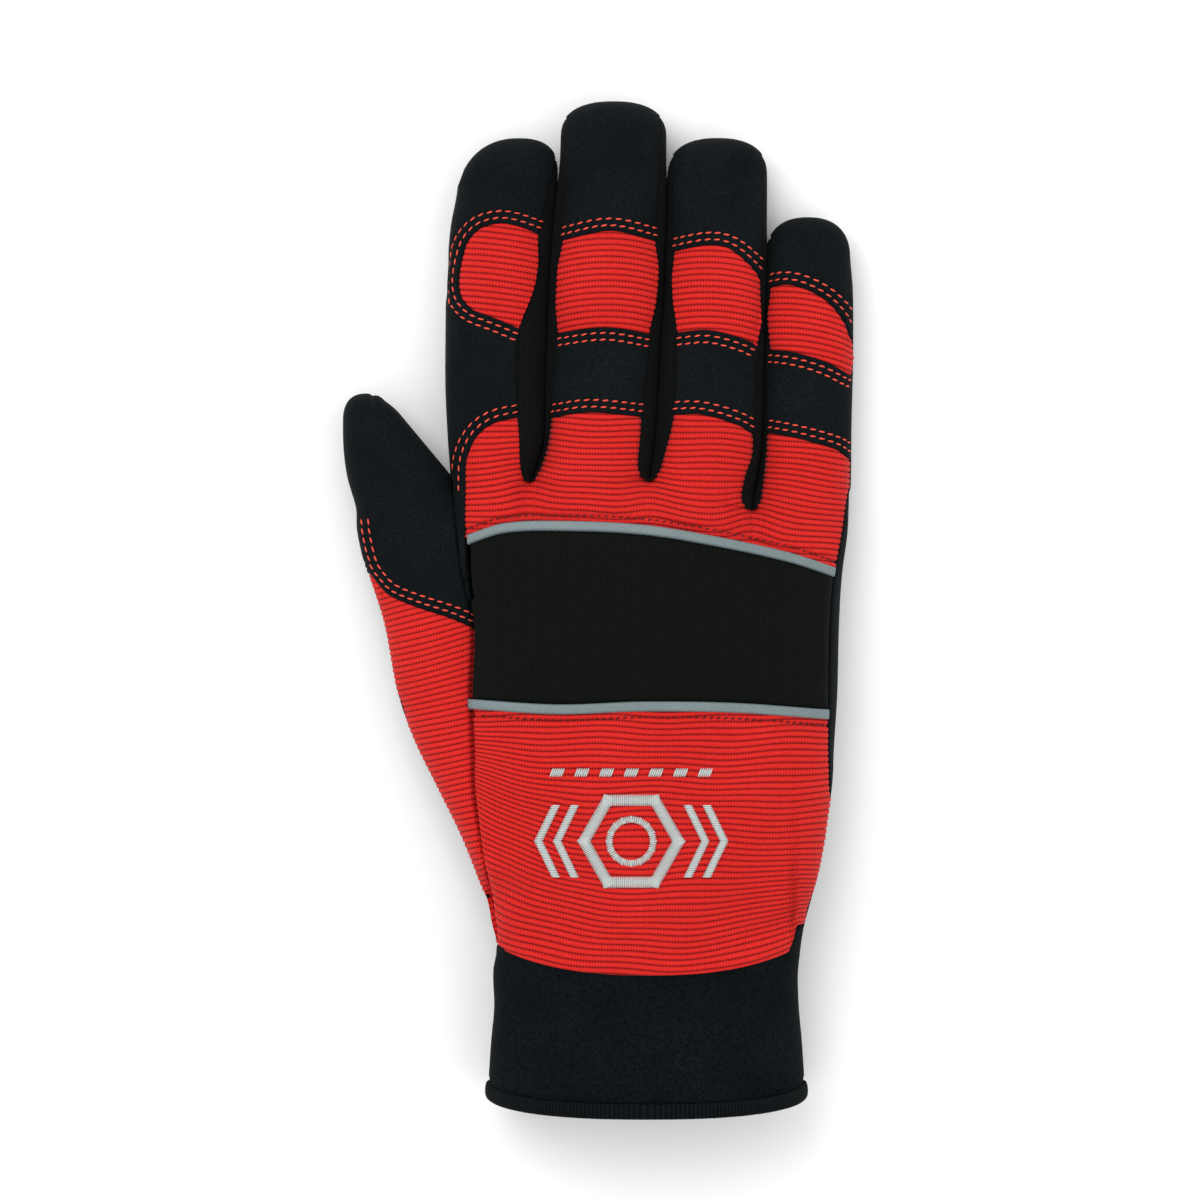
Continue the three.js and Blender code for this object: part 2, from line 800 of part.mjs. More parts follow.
function fourchetteRow(finger, side, y) {
  const surface = (level, x, yy) => handSurface(finger, level, x, yy);
  const left = fingerEdge(finger, 'leftEdge', y);
  const right = fingerEdge(finger, 'rightEdge', y);
  const centre = (left + right) / 2;
  const half = (right - left) / 2;
  const seam = fingerEdge(finger, side > 0 ? 'rightSeam' : 'leftSeam', y) + side * SEAM_GAP / 2;
  const tip = clamp((alongFinger(finger, y) - finger.tipStart) / (1 - finger.tipStart), 0, 1);
  const reach = crownAt(1 - tip ** CROWN_POWER);
  const angleAt = (share) => Math.acos(clamp(share / reach, 0, 1) ** (CROWN_POWER / 2));
  const upper = angleAt(Math.abs(seam - centre) / half);
  const lower = angleAt(PALM_SEAM + LOWER_SEAM_GAPS * SEAM_GAP / half);
  const points = [];
  for (let column = 0; column <= FOURCHETTE_COLUMNS; column += 1) {
    const angle = mix(upper, -lower, column / FOURCHETTE_COLUMNS);
    const x = centre + side * half * reach * Math.cos(angle) ** (2 / CROWN_POWER);
    const level = angle >= 0 ? 1 : -1;
    points.push(skinPoint(surface, level, x, y));
  }
  return points;
}

function fourchetteEnd(finger, side) {
  const start = finger.base * PALM_LENGTH + finger.tipStart * finger.length;
  const left = fingerEdge(finger, 'leftEdge', start);
  const right = fingerEdge(finger, 'rightEdge', start);
  const seam = fingerEdge(finger, side > 0 ? 'rightSeam' : 'leftSeam', start);
  const share = Math.abs((2 * seam - left - right) / (right - left));
  const widest = Math.max(share, PALM_SEAM) + END_SPARE;
  return start + (1 - finger.tipStart) * finger.length * crownAt(1 - widest ** CROWN_POWER);
}

function addFourchette(before, after, crotchX) {
  const crotch = rootY(crotchX);
  const rows = [];
  for (let row = 0; row <= FOURCHETTE_ROWS; row += 1) {
    const share = row / FOURCHETTE_ROWS;
    rows.push(fourchetteRow(before, 1, mix(fourchetteEnd(before, 1), crotch + CROTCH_CLEARANCE, share)));
  }
  const up = [];
  for (let row = 0; row <= FOURCHETTE_ROWS; row += 1) {
    const share = row / FOURCHETTE_ROWS;
    up.push(fourchetteRow(after, -1, mix(crotch + CROTCH_CLEARANCE, fourchetteEnd(after, -1), share)));
  }
  const last = rows[rows.length - 1];
  const turn = last.map((point, column) => {
    const angle = Math.PI * column / FOURCHETTE_COLUMNS;
    const at = point.at.clone().lerp(up[0][column].at, 0.5);
    at.y = crotch + SEAM_GAP;
    return { at, out: new THREE.Vector3(0, Math.sin(angle), Math.cos(angle)) };
  });
  const points = [...rows, turn, ...up].flat();
  const quads = gridQuads(FOURCHETTE_COLUMNS, 2 * FOURCHETTE_ROWS + 2, -1);
  addPiece(`fourchette_${before.name}_${after.name}`, STRETCH, panelGeometry(points, quads, LEATHER_WALL));
}

// Back of the hand: knuckle panel with a tongue to each finger, pad, piping and back panel

function pipingY(curve, x) {
  return curve('along', x / PALM_WIDTH) * PALM_LENGTH;
}

function wrapShare(y) {
  const share = (y / PALM_LENGTH - WRAP_START) / (WRAP_END - WRAP_START);
  return Math.sqrt(Math.max(0, Math.sin(Math.PI * clamp(share, 0, 1))));
}

function backRight(y) {
  const left = palmEdge('left', y);
  const right = palmEdge('right', y);
  const edge = mix(left, right, (1 + EDGE_REACH) / 2);
  return edge - wrapShare(y) * (WRAP_WIDTH + SEAM_GAP);
}

function backLeft(y) {
  const along = y / PALM_LENGTH;
  if (along > STRIP_START) return stripRight(y) + SEAM_GAP / 2;
  return mix(palmEdge('left', y), palmEdge('right', y), (1 - EDGE_REACH) / 2) + SEAM_GAP / 2;
}

const backPatch = (options) => patch({
  surface: (side, x, y) => palmSurface(side, x, y),
  left: backLeft,
  right: backRight,
  columns: BACK_COLUMNS,
  ...options,
});

const TONGUE_COLUMNS = 5;
const TONGUE_ROWS = 4;
const KNUCKLE_ROWS = 6;
const BACK_COLUMNS = 12;
const BACK_ROWS = 9;
const PAD_ROWS = 6;
const PIPING_ROWS = 2;

function tongueSides(finger) {
  const sides = { left: (y) => dorsalLeft(finger, y), right: (y) => dorsalRight(finger, y) };
  if (finger.name === 'index') {
    sides.left = (y) => Math.max(stripRight(y), windowEdgeX(y)) + SEAM_GAP / 2;
  }
  if (finger.name === 'little') {
    sides.right = (y) => Math.min(dorsalRight(finger, y), backRight(y));
  }
  return sides;
}

function knuckleSides(finger) {
  const sides = tongueSides(finger);
  if (finger.name === 'index') sides.left = backLeft;
  if (finger.name === 'little') sides.right = backRight;
  return sides;
}

function knucklePlace(finger, column, row) {
  const across = column / TONGUE_COLUMNS;
  if (row <= TONGUE_ROWS) {
    const high = (x) => crossSeam(finger, 'bandStart', x) - SEAM_GAP;
    return placeBetween({ ...tongueSides(finger), low: rootY, high }, across, 1 - row / TONGUE_ROWS);
  }
  const low = (x) => pipingY(upperPipingCurve, x) + SEAM_GAP / 2;
  const along = 1 - (row - TONGUE_ROWS) / KNUCKLE_ROWS;
  return placeBetween({ ...knuckleSides(finger), low, high: rootY }, across, along);
}

function addKnucklePanel() {
  const points = [];
  const rows = TONGUE_ROWS + KNUCKLE_ROWS;
  for (let row = 0; row <= rows; row += 1) {
    for (const finger of fingers) {
      const surface = (side, x, y) => handSurface(finger, side, x, y);
      for (let column = 0; column <= TONGUE_COLUMNS; column += 1) {
        const place = knucklePlace(finger, column, row);
        points.push(skinPoint(surface, 1, place.x, place.y));
      }
    }
  }
  const count = fingers.length * (TONGUE_COLUMNS + 1) - 1;
  const keep = (column, row) => column % (TONGUE_COLUMNS + 1) !== TONGUE_COLUMNS || row >= TONGUE_ROWS;
  addPiece('knuckle_panel', RED_KNIT, panelGeometry(points, gridQuads(count, rows, -1, keep), KNIT_WALL));
}

function addBack() {
  addKnucklePanel();
  const upperTop = (x) => pipingY(upperPipingCurve, x) - SEAM_GAP / 2;
  const upperLow = (x) => pipingY(upperPipingCurve, x) - PIPING_WIDTH;
  const lowerTop = (x) => pipingY(lowerPipingCurve, x);
  const lowerLow = (x) => lowerTop(x) - PIPING_WIDTH;
  addPiece('piping_upper', REFLECTIVE, backPatch({
    low: upperLow,
    high: upperTop,
    rise: PIPING_RISE,
    wall: PIPING_WALL,
    rows: PIPING_ROWS,
  }));
  addPiece('knuckle_pad', NEOPRENE, backPatch({
    low: (x) => lowerTop(x) + SEAM_GAP / 2,
    high: (x) => upperLow(x) - SEAM_GAP,
    rise: PAD_RISE,
    wall: PAD_WALL,
    rows: PAD_ROWS,
  }));
  addPiece('piping_lower', REFLECTIVE, backPatch({
    low: lowerLow,
    high: (x) => lowerTop(x) - SEAM_GAP / 2,
    rise: PIPING_RISE,
    wall: PIPING_WALL,
    rows: PIPING_ROWS,
  }));
  addPiece('back_panel', RED_KNIT, backPatch({
    low: (x) => backEnd(x) + SEAM_GAP / 2,
    high: (x) => lowerLow(x) - SEAM_GAP,
    wall: KNIT_WALL,
    rows: BACK_ROWS,
  }));
}

// Lower edge of the back panel, which sags over the cuff

function backEnd(x) {
  const left = palmEdge('left', 0);
  const right = palmEdge('right', 0);
  const across = clamp(Math.abs((2 * x - left - right) / (right - left)), 0, 1);
  return BACK_END_SIDE - BACK_SAG * (1 - across ** CROWN_POWER);
}

// Palm leather: underside of the hand and the finger fronts, with a wrap up the little finger's side

const SIDE_WRAP_MIDDLE = 0.3;
const FRONT_COLUMNS = 6;
const FRONT_ROWS = 11;
const PALM_ROWS = 12;

function frontEdge(finger, side, y) {
  const outer = (finger.name === 'index' && side < 0) || (finger.name === 'little' && side > 0);
  if (outer) return outerEdge(finger, side, y);
  const left = fingerEdge(finger, 'leftEdge', y);
  const right = fingerEdge(finger, 'rightEdge', y);
  return mix(left, right, (1 + side * PALM_SEAM) / 2);
}

function addPalm() {
  const points = [];
  const rows = FRONT_ROWS + PALM_ROWS;
  const lanes = fingers.length;
  const palmStart = BACK_END_SIDE + SEAM_GAP / 2;
  const lastColumn = lanes * (FRONT_COLUMNS + 1) - 1;
  const rootShare = (finger, side) => {
    const y = rootY(finger.centre * PALM_WIDTH);
    const left = palmEdge('left', y);
    return (frontEdge(finger, side, y) - left) / (palmEdge('right', y) - left);
  };
  const rightmost = [];
  for (let row = 0; row <= rows; row += 1) {
    for (const finger of fingers) {
      const surface = (side, x, y) => handSurface(finger, side, x, y);
      for (let column = 0; column <= FRONT_COLUMNS; column += 1) {
        const across = crowdedAtSides(column, FRONT_COLUMNS);
        let place;
        if (row <= FRONT_ROWS) {
          place = placeBetween({
            left: (y) => frontEdge(finger, -1, y),
            right: (y) => frontEdge(finger, 1, y),
            low: rootY,
            high: (x) => tipOutline(finger, x),
          }, across, crowdedAtEnd(FRONT_ROWS - row, FRONT_ROWS));
        } else {
          const first = finger.name === 'index' ? (1 - EDGE_REACH) / 2 : rootShare(finger, -1);
          const last = finger.name === 'little' ? (1 + EDGE_REACH) / 2 : rootShare(finger, 1);
          const share = mix(first, last, across);
          place = placeBetween({
            left: (y) => mix(palmEdge('left', y), palmEdge('right', y), share),
            right: (y) => mix(palmEdge('left', y), palmEdge('right', y), share),
            low: () => palmStart,
            high: rootY,
          }, 0, 1 - (row - FRONT_ROWS) / PALM_ROWS);
        }
        points.push(skinPoint(surface, -1, place.x, place.y));
      }
    }
    rightmost.push(row * (lastColumn + 1) + lastColumn);
  }
  const keep = (column, row) => column % (FRONT_COLUMNS + 1) !== FRONT_COLUMNS || row >= FRONT_ROWS;
  const quads = gridQuads(lastColumn, rows, 1, keep);
  addSideWrap(points, quads, rightmost);
  addPiece('palm', LEATHER, panelGeometry(points, quads, LEATHER_WALL));
}

function addSideWrap(points, quads, edge) {
  const surface = (side, x, y) => handSurface(fingers.at(-1), side, x, y);
  let previous = null;
  for (const corner of edge) {
    const y = points[corner].at.y;
    let column = [corner, corner, corner];
    if (wrapShare(y) > 0 && y < rootY(points[corner].at.x)) {
      const seam = backRight(y) + SEAM_GAP;
      const reach = palmEdge('right', y);
      const low = points.push(skinPoint(surface, 1, mix(reach, seam, SIDE_WRAP_MIDDLE), y)) - 1;
      const high = points.push(skinPoint(surface, 1, seam, y)) - 1;
      column = [corner, low, high];
    }
    if (previous && (previous[1] !== previous[0] || column[1] !== column[0])) {
      quads.push([previous[0], previous[1], column[1], column[0]]);
      quads.push([previous[1], previous[2], column[2], column[1]]);
    }
    previous = column;
  }
}

// Thumb: leather back and underside, and the knit gusset below them

function thumbOutline(x) {
  const left = thumbLeft(thumbTipStart);
  const right = thumbRight(thumbTipStart);
  const across = Math.abs((2 * x - left - right) / (right - left));
  const reach = crownAt(1 - EDGE_ROOM - across ** CROWN_POWER);
  return thumbTipStart + (1 - THUMB_TIP_START) * THUMB_LENGTH * reach;
}

const THUMB_COLUMNS = 8;
const THUMB_BACK_ROWS = 13;
const THUMB_PALM_ROWS = 15;
const GUSSET_COLUMNS = 6;
const GUSSET_ROWS = 12;

function addThumb() {
  const left = (y) => mix(thumbLeft(y), thumbHiddenEdge(y), (1 - EDGE_REACH) / 2);
  const right = (y) => {
    if (y < thumbCrotch) return thumbRight(y);
    return mix(thumbLeft(y), thumbRight(y), (1 + EDGE_REACH) / 2);
  };
  const leatherEnd = (x) => thumbLeatherCurve('along', x / PALM_WIDTH) * PALM_LENGTH;
  const region = { surface: thumbSurface, left, right };
  addPiece('thumb_back', LEATHER, patch({
    ...region,
    low: (x) => leatherEnd(x) + SEAM_GAP / 2,
    high: thumbOutline,
    columns: THUMB_COLUMNS,
    rows: THUMB_BACK_ROWS,
    rowStep: crowdedAtEnd,
    wall: LEATHER_WALL,
  }));
  addPiece('thumb_gusset', RED_KNIT, patch({
    ...region,
    low: () => gussetStart,
    high: (x) => leatherEnd(x) - SEAM_GAP,
    columns: GUSSET_COLUMNS,
    rows: GUSSET_ROWS,
    wall: KNIT_WALL,
  }));
  addPiece('thumb_palm', LEATHER, patch({
    ...region,
    side: -1,
    low: () => gussetStart,
    high: thumbOutline,
    columns: THUMB_COLUMNS,
    rows: THUMB_PALM_ROWS,
    rowStep: crowdedAtEnd,
    wall: LEATHER_WALL,
  }));
}

// Cuff and binding: rings round the wrist

const RING_SIDES = 36;
const CUFF_ROWS = 4;
const BINDING_ROWS = 2;

function ringPoint(turn, y, rise) {
  const angle = 2 * Math.PI * turn;
  const level = Math.sin(angle) >= 0 ? 1 : -1;
  const left = palmEdge('left', y);
  const right = palmEdge('right', y);
  const spread = Math.sign(Math.cos(angle)) * Math.abs(Math.cos(angle)) ** (2 / CROWN_POWER);
  const x = mix(left, right, (1 + spread) / 2);
  const point = skinPoint(palmSurface, level, x, y, rise);
  point.at.z = Math.max(0, point.at.z);
  return point;
}

function ring(top, bottom, rows, rise, wall) {
  const points = [];
  for (let row = 0; row <= rows; row += 1) {
    for (let column = 0; column < RING_SIDES; column += 1) {
      const turn = column / RING_SIDES;
      const y = mix(top(turn), bottom(turn), row / rows);
      points.push(ringPoint(turn, y, rise));
    }
  }
  return panelGeometry(points, gridQuads(RING_SIDES, rows, 1, () => true, true), wall);
}

function addCuff() {
  const upness = (turn) => Math.max(0, Math.sin(2 * Math.PI * turn));
  const cuffTop = (turn) => {
    const { at } = ringPoint(turn, 0, 0);
    const start = upness(turn) > 0 ? backEnd(at.x) : BACK_END_SIDE;
    return start - SEAM_GAP / 2;
  };
  const hem = (turn) => -CUFF_LENGTH - HEM_DROP * upness(turn);
  const seam = (turn) => hem(turn) + BINDING_WIDTH;
  addPiece('cuff', FLEECE, ring(cuffTop, (turn) => seam(turn) + SEAM_GAP, CUFF_ROWS, 0, CUFF_WALL));
  addPiece('cuff_binding', FLEECE, ring(seam, hem, BINDING_ROWS, BINDING_RISE, BINDING_WALL));
}

addPalm();
addThumb();
addIndexWrap();
fingers.slice(1).forEach(addFingerBack);
CROTCH_PLACES.forEach((place, number) => {
  addFourchette(fingers[number], fingers[number + 1], place * PALM_WIDTH);
});
addBack();
addCuff();

// Origin: middle of the glove's footprint, on the surface that it lies on

const box = new THREE.Box3().setFromObject(glove);
const middle = box.getCenter(new THREE.Vector3());
glove.position.set(-middle.x, -middle.y, -box.min.z);

export default glove;
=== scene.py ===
import math

import bpy
import numpy as np
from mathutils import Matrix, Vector


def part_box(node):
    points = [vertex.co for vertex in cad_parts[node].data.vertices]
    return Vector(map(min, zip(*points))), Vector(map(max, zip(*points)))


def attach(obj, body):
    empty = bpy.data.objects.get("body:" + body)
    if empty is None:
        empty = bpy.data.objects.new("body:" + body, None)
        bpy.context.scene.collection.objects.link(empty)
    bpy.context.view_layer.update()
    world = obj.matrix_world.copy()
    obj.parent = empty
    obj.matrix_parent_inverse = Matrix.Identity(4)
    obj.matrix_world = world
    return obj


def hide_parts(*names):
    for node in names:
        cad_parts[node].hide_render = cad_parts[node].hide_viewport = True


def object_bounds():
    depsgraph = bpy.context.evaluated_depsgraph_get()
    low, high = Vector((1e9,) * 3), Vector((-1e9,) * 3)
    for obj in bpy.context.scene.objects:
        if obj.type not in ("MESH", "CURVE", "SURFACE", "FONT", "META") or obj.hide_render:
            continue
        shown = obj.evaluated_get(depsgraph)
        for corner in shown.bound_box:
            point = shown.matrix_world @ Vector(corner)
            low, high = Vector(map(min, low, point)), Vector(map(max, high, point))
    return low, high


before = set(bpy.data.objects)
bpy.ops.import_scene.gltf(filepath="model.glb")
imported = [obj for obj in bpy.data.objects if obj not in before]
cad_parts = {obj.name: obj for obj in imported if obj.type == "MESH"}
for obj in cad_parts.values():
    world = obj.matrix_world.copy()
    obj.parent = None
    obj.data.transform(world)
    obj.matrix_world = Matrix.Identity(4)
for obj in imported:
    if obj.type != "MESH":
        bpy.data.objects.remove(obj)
cad_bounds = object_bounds()

# A right-hand work glove, palm down: leather palm and finger tips, ribbed knit back, padded knuckles

MM = 0.001

# Sizes of the glove in millimetres, as the sewn panels are cut

PALM_WIDTH = 98.8
WRIST_WIDTH = 74.8
PALM_LENGTH = 116.8
WRIST_TAPER = 0.4 * PALM_LENGTH
PALM_HEIGHT = 32
FINGER_WIDTH = 24.7
FINGER_HEIGHT = 19
THUMB_LENGTH = 133.4
THUMB_WIDTH = 24.7
THUMB_OVERLAP = 12
THUMB_OVERLAP_LOW = 0.15
GUSSET_OPENING = 10
CUFF_LENGTH = 34.8
CUFF_FLARE = 2.4
HEM_DROP = 4.4
BINDING_WIDTH = 3.7
BACK_SAG = 6.1
BACK_END_SIDE = 2.8
PIPING_WIDTH = 2.5
WRAP_WIDTH = 2.3
STRIP_WIDTH = 3.5
SEAM_GAP = 0.4
THUMB_SEAM_GAP = 0.7
SEAM_DROP = 1.5
SEAM_TURN = 0.3
LEATHER_WALL = 1.2
KNIT_WALL = 0.9
PAD_WALL = 2.4
PAD_RISE = 0.75
PAD_PRESSURE = 2.0
PAD_FRAMES = 16
PAD_STIFFNESS = 8
PAD_BENDING = 0.6
PAD_POINT_MASS = 0.02
PAD_ROLL = 2.4
PAD_ROLL_DEPTH = 0.9
PAD_MOST = 1.0
PIPING_RISE = 0.95
BINDING_RISE = 0.7
KNIT_SINK = 0.15
KNIT_ROLL = 1.2
PUFF_REACH = 8
LINE_STEP = 0.6
THREAD_LIFT = 0.6
TIP_CROWDING = 1.8
KNIT_DROP = 0.75
CUFF_WALL = 2.0
CUFF_TUCK = 3.0
GUSSET_TUCK = 1.6
THUMB_TUCK = 1.3
THUMB_STITCH_CLIMB = 13
GUSSET_LEDGE = 0.8
GUSSET_LEAN = 0.24
BACK_HEM = 0.8
HEM_RISE = 1.0
HEM_REACH = 7
CORNER_RISE = 5.4
CORNER_START = 0.91
CORNER_WIDTH = 0.08
RIB_LEAN = 9
RIB_LEAN_WIDTH = 30
RIB_LEAN_REACH = 26
RIB_ROUND_REACH = 24
FOURCHETTE_SWELL = 0.45
FOURCHETTE_MOST = 1.6
PARTINGS = (196, 196, 181)
THUMB_DART = np.array([[-68.8, 137.6], [-66.8, 134.5], [-63.6, 130.2]])
VALLEY_FADE = 26
VALLEY_LEAD = 8

# Form of the sections

CROWN_POWER = 2.4
SOLE_FULLNESS = 1.35
EDGE_CROWN = 0.025
EDGE_ROOM = EDGE_CROWN ** CROWN_POWER
EDGE_REACH = (1 - EDGE_ROOM) ** (1 / CROWN_POWER)
EDGE_FADE = 0.3
PALM_SEAM = 0.82
MID_SHARE = 0.46
SLOPE_STEP = 0.4

# Knit and stitches

RIB_PITCH = 1.48
RIB_HEIGHT = 0.36
STITCH_PITCH = 0.72
THREAD_RADIUS = 0.225
THREAD_FLATNESS = 0.8
SATIN_SPACING = 0.46
SATIN_RADIUS = 0.24
STITCH_LENGTH = 1.6
STITCH_SPACING = 2.25
STITCH_ROWS = (1.4, 3.05)
STITCH_PULL = 0.25
STITCH_CROWN = 0.42
STITCH_PULL_WIDTH = 0.45
LOCK_ROW = 1.35
LOCK_WIDTH = 0.5
LOCK_SPACING = 1.75
LOCK_LENGTH = 1.15
LOCK_SLANT = 20
LOCK_RISE = 0.12
PIPING_PULL = 0.5
PIPING_OVERLAP = 0.7
SLIT_ROUND = 2.6
SLIT_LEAD = 1.6
SLIT_DEPTH = 1.9
SLIT_RISE = 0.5
SLIT_EDGE = 0.1
SATIN_RISE = 0.34
LEATHER_RISE = 0.5
LEATHER_SINK = 0.1
MOTIF_X = 8
MOTIF_Y = -57
NUT_RADIUS = 11.5
NUT_HOLE = 5.4
NUT_STROKE = 3.0
CHEVRON_GAP = 6.5
CHEVRON_STEP = 4.6
CHEVRON_WIDTH = 2.3
CHEVRON_ARM = (4.2, 8.6)
LOZENGE_STEP = 6
LOZENGE_RISE = 5.2
LOZENGE_LENGTH = 2.6
LOZENGE_HEIGHT = 2.4
TUCK = 1.4


# Curves through short tables of shares

def ease(share):
    inside = np.clip(share, 0, 1)
    return inside * inside * (3 - 2 * inside)


def mix(start, end, share):
    return start + (end - start) * share


def smooth_table(names, rows):
    """A function that gives a column of the table, smoothly, at a share in its first column."""
    table = np.array(rows, dtype=float)
    keys = table[:, 0]
    last = len(rows) - 1
    before = np.maximum(np.arange(len(rows)) - 1, 0)
    after = np.minimum(np.arange(len(rows)) + 1, last)
    slopes = (table[after] - table[before]) / (keys[after] - keys[before])[:, None]

    def value(name, at):
        column = names.index(name)
        share = np.clip(at, keys[0], keys[-1])
        row = np.clip(np.searchsorted(keys, share, side="left") - 1, 0, last - 1)
        span = keys[row + 1] - keys[row]
        t = (share - keys[row]) / span
        base = mix(table[row, column], table[row + 1, column], t * t * (3 - 2 * t))
        lead = t * (1 - t) ** 2 * span * slopes[row, column]
        trail = t * t * (t - 1) * span * slopes[row + 1, column]
        return base + lead + trail

    return value


FINGER_COLUMNS = ["along", "leftEdge", "leftSeam", "rightSeam", "rightEdge"]


class Finger:
    """One finger: its place on the palm, its size, and its edges and seams as shares of its width."""

    def __init__(self, name, centre, base, length, fullness, tip_start, rows, seams, tip_lean=0.0):
        self.name = name
        self.centre = centre * PALM_WIDTH
        self.base = base * PALM_LENGTH
        self.length = length
        self.width = FINGER_WIDTH
        self.fullness = fullness
        self.tip_start = tip_start
        self.tip_lean = tip_lean
        self.edges = smooth_table(FINGER_COLUMNS, rows)
        self.seams = {seam: smooth_table(["place", "along"], line) for seam, line in seams.items()}

    def along(self, y):
        return (y - self.base) / self.length

    def edge(self, name, y):
        along = self.along(y)
        lean = self.tip_lean * np.clip((along - self.tip_start) / (1 - self.tip_start), 0, 1)
        return self.centre + (self.edges(name, np.clip(along, 0, self.tip_start)) + lean) * self.width

    def at(self, along):
        return self.base + along * self.length

    def seam(self, name, x):
        place = (x - self.centre) / self.width
        return self.at(self.seams[name]("along", place))


INDEX = Finger("index", -0.384, 1, 84.5, 1, 0.86, [
    [0, -0.45, -0.45, 0.26, 0.31],
    [0.06, -0.46, -0.46, 0.24, 0.375],
    [0.12, -0.475, -0.475, 0.235, 0.43],
    [0.27, -0.5, -0.5, 0.2, 0.445],
    [0.42, -0.5, -0.5, 0.22, 0.455],
    [0.58, -0.49, -0.49, 0.375, 0.475],
    [0.74, -0.45, -0.45, 0.43, 0.52],
    [0.86, -0.38, -0.38, 0.51, 0.57],
    [1, -0.38, -0.38, 0.51, 0.57],
], {
    "bandStart": [[-0.5, 0.035], [-0.31, 0.053], [-0.25, 0.1], [-0.15, 0.14], [0, 0.167], [0.25, 0.183]],
    "windowStart": [[-0.5, 0.52], [-0.3, 0.507], [-0.241, 0.496], [-0.12, 0.482], [0.02, 0.467],
                    [0.25, 0.438]],
    "windowEnd": [[-0.5, 0.66], [-0.3, 0.7], [-0.24, 0.714], [-0.14, 0.736], [0.09, 0.747], [0.44, 0.718]],
}, tip_lean=0.13)
MIDDLE = Finger("middle", -0.1, 1, 93.6, 1.03, 0.91, [
    [0, -0.77, -0.745, 0.29, 0.345],
    [0.05, -0.69, -0.675, 0.28, 0.39],
    [0.11, -0.635, -0.615, 0.3, 0.42],
    [0.24, -0.62, -0.56, 0.33, 0.45],
    [0.4, -0.595, -0.53, 0.4, 0.49],
    [0.55, -0.565, -0.5, 0.455, 0.525],
    [0.7, -0.525, -0.46, 0.45, 0.545],
    [0.86, -0.495, -0.44, 0.49, 0.555],
    [1, -0.48, -0.43, 0.49, 0.555],
], {
    "bandStart": [[-0.55, 0.166], [-0.21, 0.177], [0.31, 0.166]],
    "windowStart": [[-0.51, 0.388], [-0.05, 0.401], [0.38, 0.385]],
    "windowEnd": [[-0.45, 0.633], [0, 0.654], [0.43, 0.631]],
})
RING = Finger("ring", 0.165, 0.973, 87.7, 0.98, 0.9, [
    [0, -0.69, -0.63, 0.25, 0.34],
    [0.05, -0.64, -0.58, 0.29, 0.385],
    [0.11, -0.615, -0.52, 0.36, 0.43],
    [0.2, -0.58, -0.44, 0.36, 0.455],
    [0.32, -0.555, -0.4, 0.385, 0.47],
    [0.45, -0.53, -0.4, 0.42, 0.48],
    [0.6, -0.5, -0.42, 0.44, 0.49],
    [0.8, -0.475, -0.43, 0.455, 0.505],
    [1, -0.47, -0.42, 0.455, 0.505],
], {
    "bandStart": [[-0.41, 0.22], [-0.16, 0.22], [0.22, 0.189], [0.38, 0.163]],
    "windowStart": [[-0.39, 0.451], [-0.06, 0.456], [0.36, 0.423], [0.41, 0.408]],
    "windowEnd": [[-0.41, 0.68], [-0.09, 0.695], [0.07, 0.691], [0.18, 0.676], [0.31, 0.646],
                  [0.42, 0.612], [0.47, 0.58]],
})
LITTLE = Finger("little", 0.39, 0.941, 71.9, 0.88, 0.86, [
    [0, -0.53, -0.47, 0.43, 0.43],
    [0.14, -0.46, -0.42, 0.44, 0.44],
    [0.28, -0.43, -0.39, 0.445, 0.445],
    [0.5, -0.41, -0.37, 0.46, 0.46],
    [0.75, -0.395, -0.36, 0.46, 0.46],
    [0.88, -0.385, -0.345, 0.43, 0.43],
    [1, -0.37, -0.33, 0.42, 0.42],
], {
    "bandStart": [[-0.4, 0.261], [-0.11, 0.24], [0.31, 0.199], [0.42, 0.172]],
    "windowStart": [[-0.4, 0.547], [-0.19, 0.538], [0.03, 0.52], [0.22, 0.497], [0.43, 0.46]],
    "windowEnd": [[-0.4, 0.758], [-0.19, 0.767], [0.03, 0.744], [0.22, 0.703], [0.38, 0.638],
                  [0.445, 0.583]],
})
FINGERS = [INDEX, MIDDLE, RING, LITTLE]

finger_heights = smooth_table(["along", "top"], [[0, 1.16], [0.3, 1.02], [0.6, 1], [0.85, 0.93], [1, 0.88]])
palm_edges = smooth_table(["along", "left", "right"], [
    [0, -0.508, 0.492],
    [0.08, -0.498, 0.498],
    [0.15, -0.478, 0.495],
    [0.22, -0.463, 0.48],
    [0.3, -0.448, 0.462],
    [0.4, -0.441, 0.457],
    [0.55, -0.445, 0.4675],
    [0.7, -0.441, 0.4725],
    [0.8, -0.465, 0.48],
    [0.9, -0.48, 0.495],
    [1, -0.4925, 0.498],
])
palm_heights = smooth_table(["along", "top", "mid"], [
    [0, 1.03, 0.5],
    [0.2, 1.04, 0.47],
    [0.5, 1.02, 0.43],
    [0.8, 0.93, 0.36],
    [1, 0.78, 0.315],
    [1.1, 0.7, 0.3],
])
cuff_edges = smooth_table(["along", "left", "right"], [
    [0, 0, 0],
    [0.12, -0.3, -0.2],
    [0.37, -0.2, -0.1],
    [0.6, -0.5, 0.2],
    [0.9, -0.8, 0.5],
    [1, -0.9, 0.6],
    [1.2, -0.9, 0.6],
])
thumb_edges = smooth_table(["along", "left"], [
    [0, 0.95],
    [0.09, 0.82],
    [0.18, 0.63],
    [0.27, 0.39],
    [0.36, 0.15],
    [0.44, -0.01],
    [0.58, -0.16],
    [0.69, -0.35],
    [0.75, -0.42],
    [0.79, -0.43],
    [0.85, -0.52],
    [0.91, -0.56],
    [1, -0.56],
])
